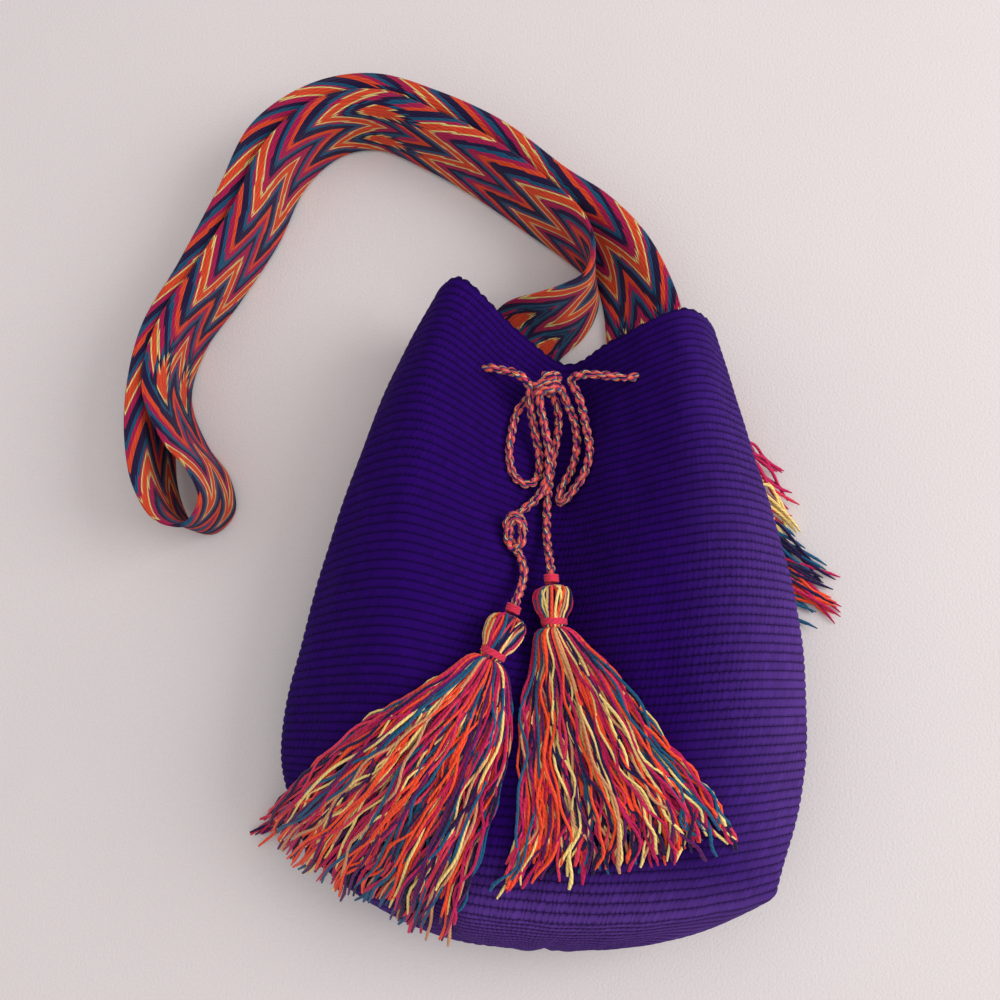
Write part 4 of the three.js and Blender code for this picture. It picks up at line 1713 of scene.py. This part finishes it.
    def build(self) -> dict[str, bpy.types.Object]:
        """Makes the tassel's pieces, by the part of it that they are."""
        return {"head": self.bulb(), "skirt": self.skirt(), "tie": self.tie(), "wrap": self.wrap()}

    def dress(self, pieces: dict[str, bpy.types.Object]) -> None:
        """Attaches the tassel's pieces to the body, and hides the parts that they stand for.

        Args:
            pieces: the pieces that build made.
        """
        nodes = {"head": "tassel", "skirt": "tassel", "tie": "tassel_tie", "wrap": "tassel_wrap"}
        for part, piece in pieces.items():
            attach(piece, BODY)
            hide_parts(f"{nodes[part]}_{self.side}")


# ---- The studio --------------------------------------------------------------------------------


@dataclass(frozen=True)
class Lamp:
    """A soft square light."""

    name: str
    place: tuple[float, float, float]
    size: float
    power: float
    colour: tuple[float, float, float] = (1.0, 1.0, 1.0)

    def build(self) -> None:
        """Adds the light, turned to the middle of the bag."""
        data = bpy.data.lights.new(self.name, "AREA")
        data.size = self.size
        data.energy = self.power
        data.color = self.colour
        lamp = bpy.data.objects.new(self.name, data)
        lamp.location = self.place
        lamp.rotation_euler = (-Vector(self.place)).to_track_quat("-Z", "Y").to_euler()
        bpy.context.scene.collection.objects.link(lamp)


WINDOW = Lamp(name="window", place=(1.4, 0.1, 0.9), size=1.0, power=16.0, colour=(1.0, 0.99, 0.995))
OVERHEAD = Lamp(name="overhead", place=(0.3, -0.1, 1.4), size=1.2, power=3.0, colour=(1.0, 0.99, 0.99))


@dataclass
class Studio:
    """The camera, the pale floor and the lights."""

    camera_place: Vector = field(default_factory=lambda: Vector((0.0621, -0.0883, 0.4964)))
    camera_target: Vector = field(default_factory=lambda: Vector((0.010, -0.005, 0.0)))
    image_up: Vector = field(default_factory=lambda: Vector((0.0172, 0.9863, 0.1638)))
    lens: float = 41.4
    sensor_width: float = 36.0
    floor_size: float = 24.0
    floor_colour: tuple = (222, 214, 213)
    sky_colour: tuple = (1.0, 0.99, 1.0, 1.0)
    sky_strength: float = 0.63

    def camera(self) -> None:
        """Adds the camera and makes it the scene's."""
        data = bpy.data.cameras.new("camera")
        data.lens = self.lens
        data.sensor_width = self.sensor_width
        data.clip_start = 0.01
        camera = bpy.data.objects.new("camera", data)
        back = (self.camera_place - self.camera_target).normalized()
        right = self.image_up.cross(back).normalized()
        up = back.cross(right)
        matrix = camera.matrix_world.copy()
        for row in range(3):
            matrix[row][0], matrix[row][1], matrix[row][2] = right[row], up[row], back[row]
            matrix[row][3] = self.camera_place[row]
        camera.matrix_world = matrix
        bpy.context.scene.collection.objects.link(camera)
        bpy.context.scene.camera = camera

    def floor(self) -> None:
        """Adds the pale floor, which isn't part of the bag."""
        half = self.floor_size / 2
        grid = np.array([[[-half, -half, 0], [half, -half, 0]], [[-half, half, 0], [half, half, 0]]], float)
        plan = MeshPlan()
        plan.add_grid(grid, np.array([0.0, 1.0]), np.array([0.0, 1.0]), False)
        graph = Graph("pale_floor", 0.9, 0.0, srgb(255, 255, 255))
        weave = graph.noise(graph.place(), 900.0, 2.0)
        broad = graph.noise(graph.place(), 14.0, 2.0)
        colour = graph.shade(srgb(*self.floor_colour), 0.96, 1.04, weave)
        colour = graph.shade(colour, 0.98, 1.02, broad)
        plan.make("floor", [graph.finish(colour, weave, 0.0002)])

    def world(self) -> None:
        """Sets the even light from all round."""
        world = bpy.data.worlds.new("studio")
        world.use_nodes = True
        backdrop = world.node_tree.nodes["Background"]
        backdrop.inputs[0].default_value = self.sky_colour
        backdrop.inputs[1].default_value = self.sky_strength
        bpy.context.scene.world = world
        bpy.context.scene.view_settings.view_transform = "Standard"

    def build(self) -> None:
        """Sets up the whole studio."""
        self.camera()
        self.floor()
        self.world()
        WINDOW.build()
        OVERHEAD.build()


# ---- The whole bag -----------------------------------------------------------------------------


def tassel_shapes(heights: HeightMap, yarns: YarnBox) -> list[Tassel]:
    """The two tassels, each fanned between two edges that run from its neck to its tips.

    Args:
        heights: the height of what they lie on.
        yarns: the yarn materials.

    Returns:
        The right and the left tassel.
    """
    right = Tassel(
        side="right",
        head=MM * np.array([[35, -46.5, 0], [35.5, -53, 0], [36, -63.5, 0]]),
        near=MM * np.array([[32, -64, 0], [26, -84, 0], [24, -112, 0], [24, -140, 0], [15, -160, 0]]),
        far=MM * np.array([[40, -64, 0], [58, -80, 0], [77, -108, 0], [94, -128, 0], [102, -144, 0]]),
        heights=heights,
        yarns=yarns,
        seed=5,
    )
    left = Tassel(
        side="left",
        head=MM * np.array([[19.5, -59, 0], [17, -66, 0], [12.3, -76, 0]]),
        near=MM * np.array([
            [8.3, -75.2, 0], [-13, -87, 0], [-40, -105, 0], [-67, -126, 0], [-95, -147, 0],
        ]),
        far=MM * np.array([[15.5, -78.6, 0], [20, -98, 0], [13, -130, 0], [3, -158, 0], [-8, -184, 0]]),
        heights=heights,
        yarns=yarns,
        seed=9,
    )
    return [right, left]


def main() -> None:
    """Builds the studio and every piece of the bag, in order."""
    logging.basicConfig(level=logging.INFO, format="%(message)s")
    Studio().build()
    drawstring = Drawstring()
    runs = drawstring.build()
    LOG.info("drawstring: %d runs", len(runs))
    bag = BagBody()
    wall = bag.build()
    bag.dress(wall)
    LOG.info("bag: %d faces", len(wall.data.polygons))
    strap = Strap(bag)
    band = strap.build()
    strap.dress(band)
    LOG.info("strap: %.3f m", strap.length)
    yarns = YarnBox()
    ends = StrapEnds(strap, yarns)
    for side in SIDES:
        ends.dress(ends.loose(side), ends.stitches(side), side)
    heights = HeightMap(wall)
    held = {}
    for tassel in tassel_shapes(heights, yarns):
        pieces = tassel.build()
        tassel.dress(pieces)
        held[tassel.side] = [pieces["head"], pieces["tie"], pieces["wrap"]]
        LOG.info("tassel %s: %d faces", tassel.side, len(pieces["skirt"].data.polygons))
    drawstring.dress(runs, held)


if __name__ == "__main__":
    main()
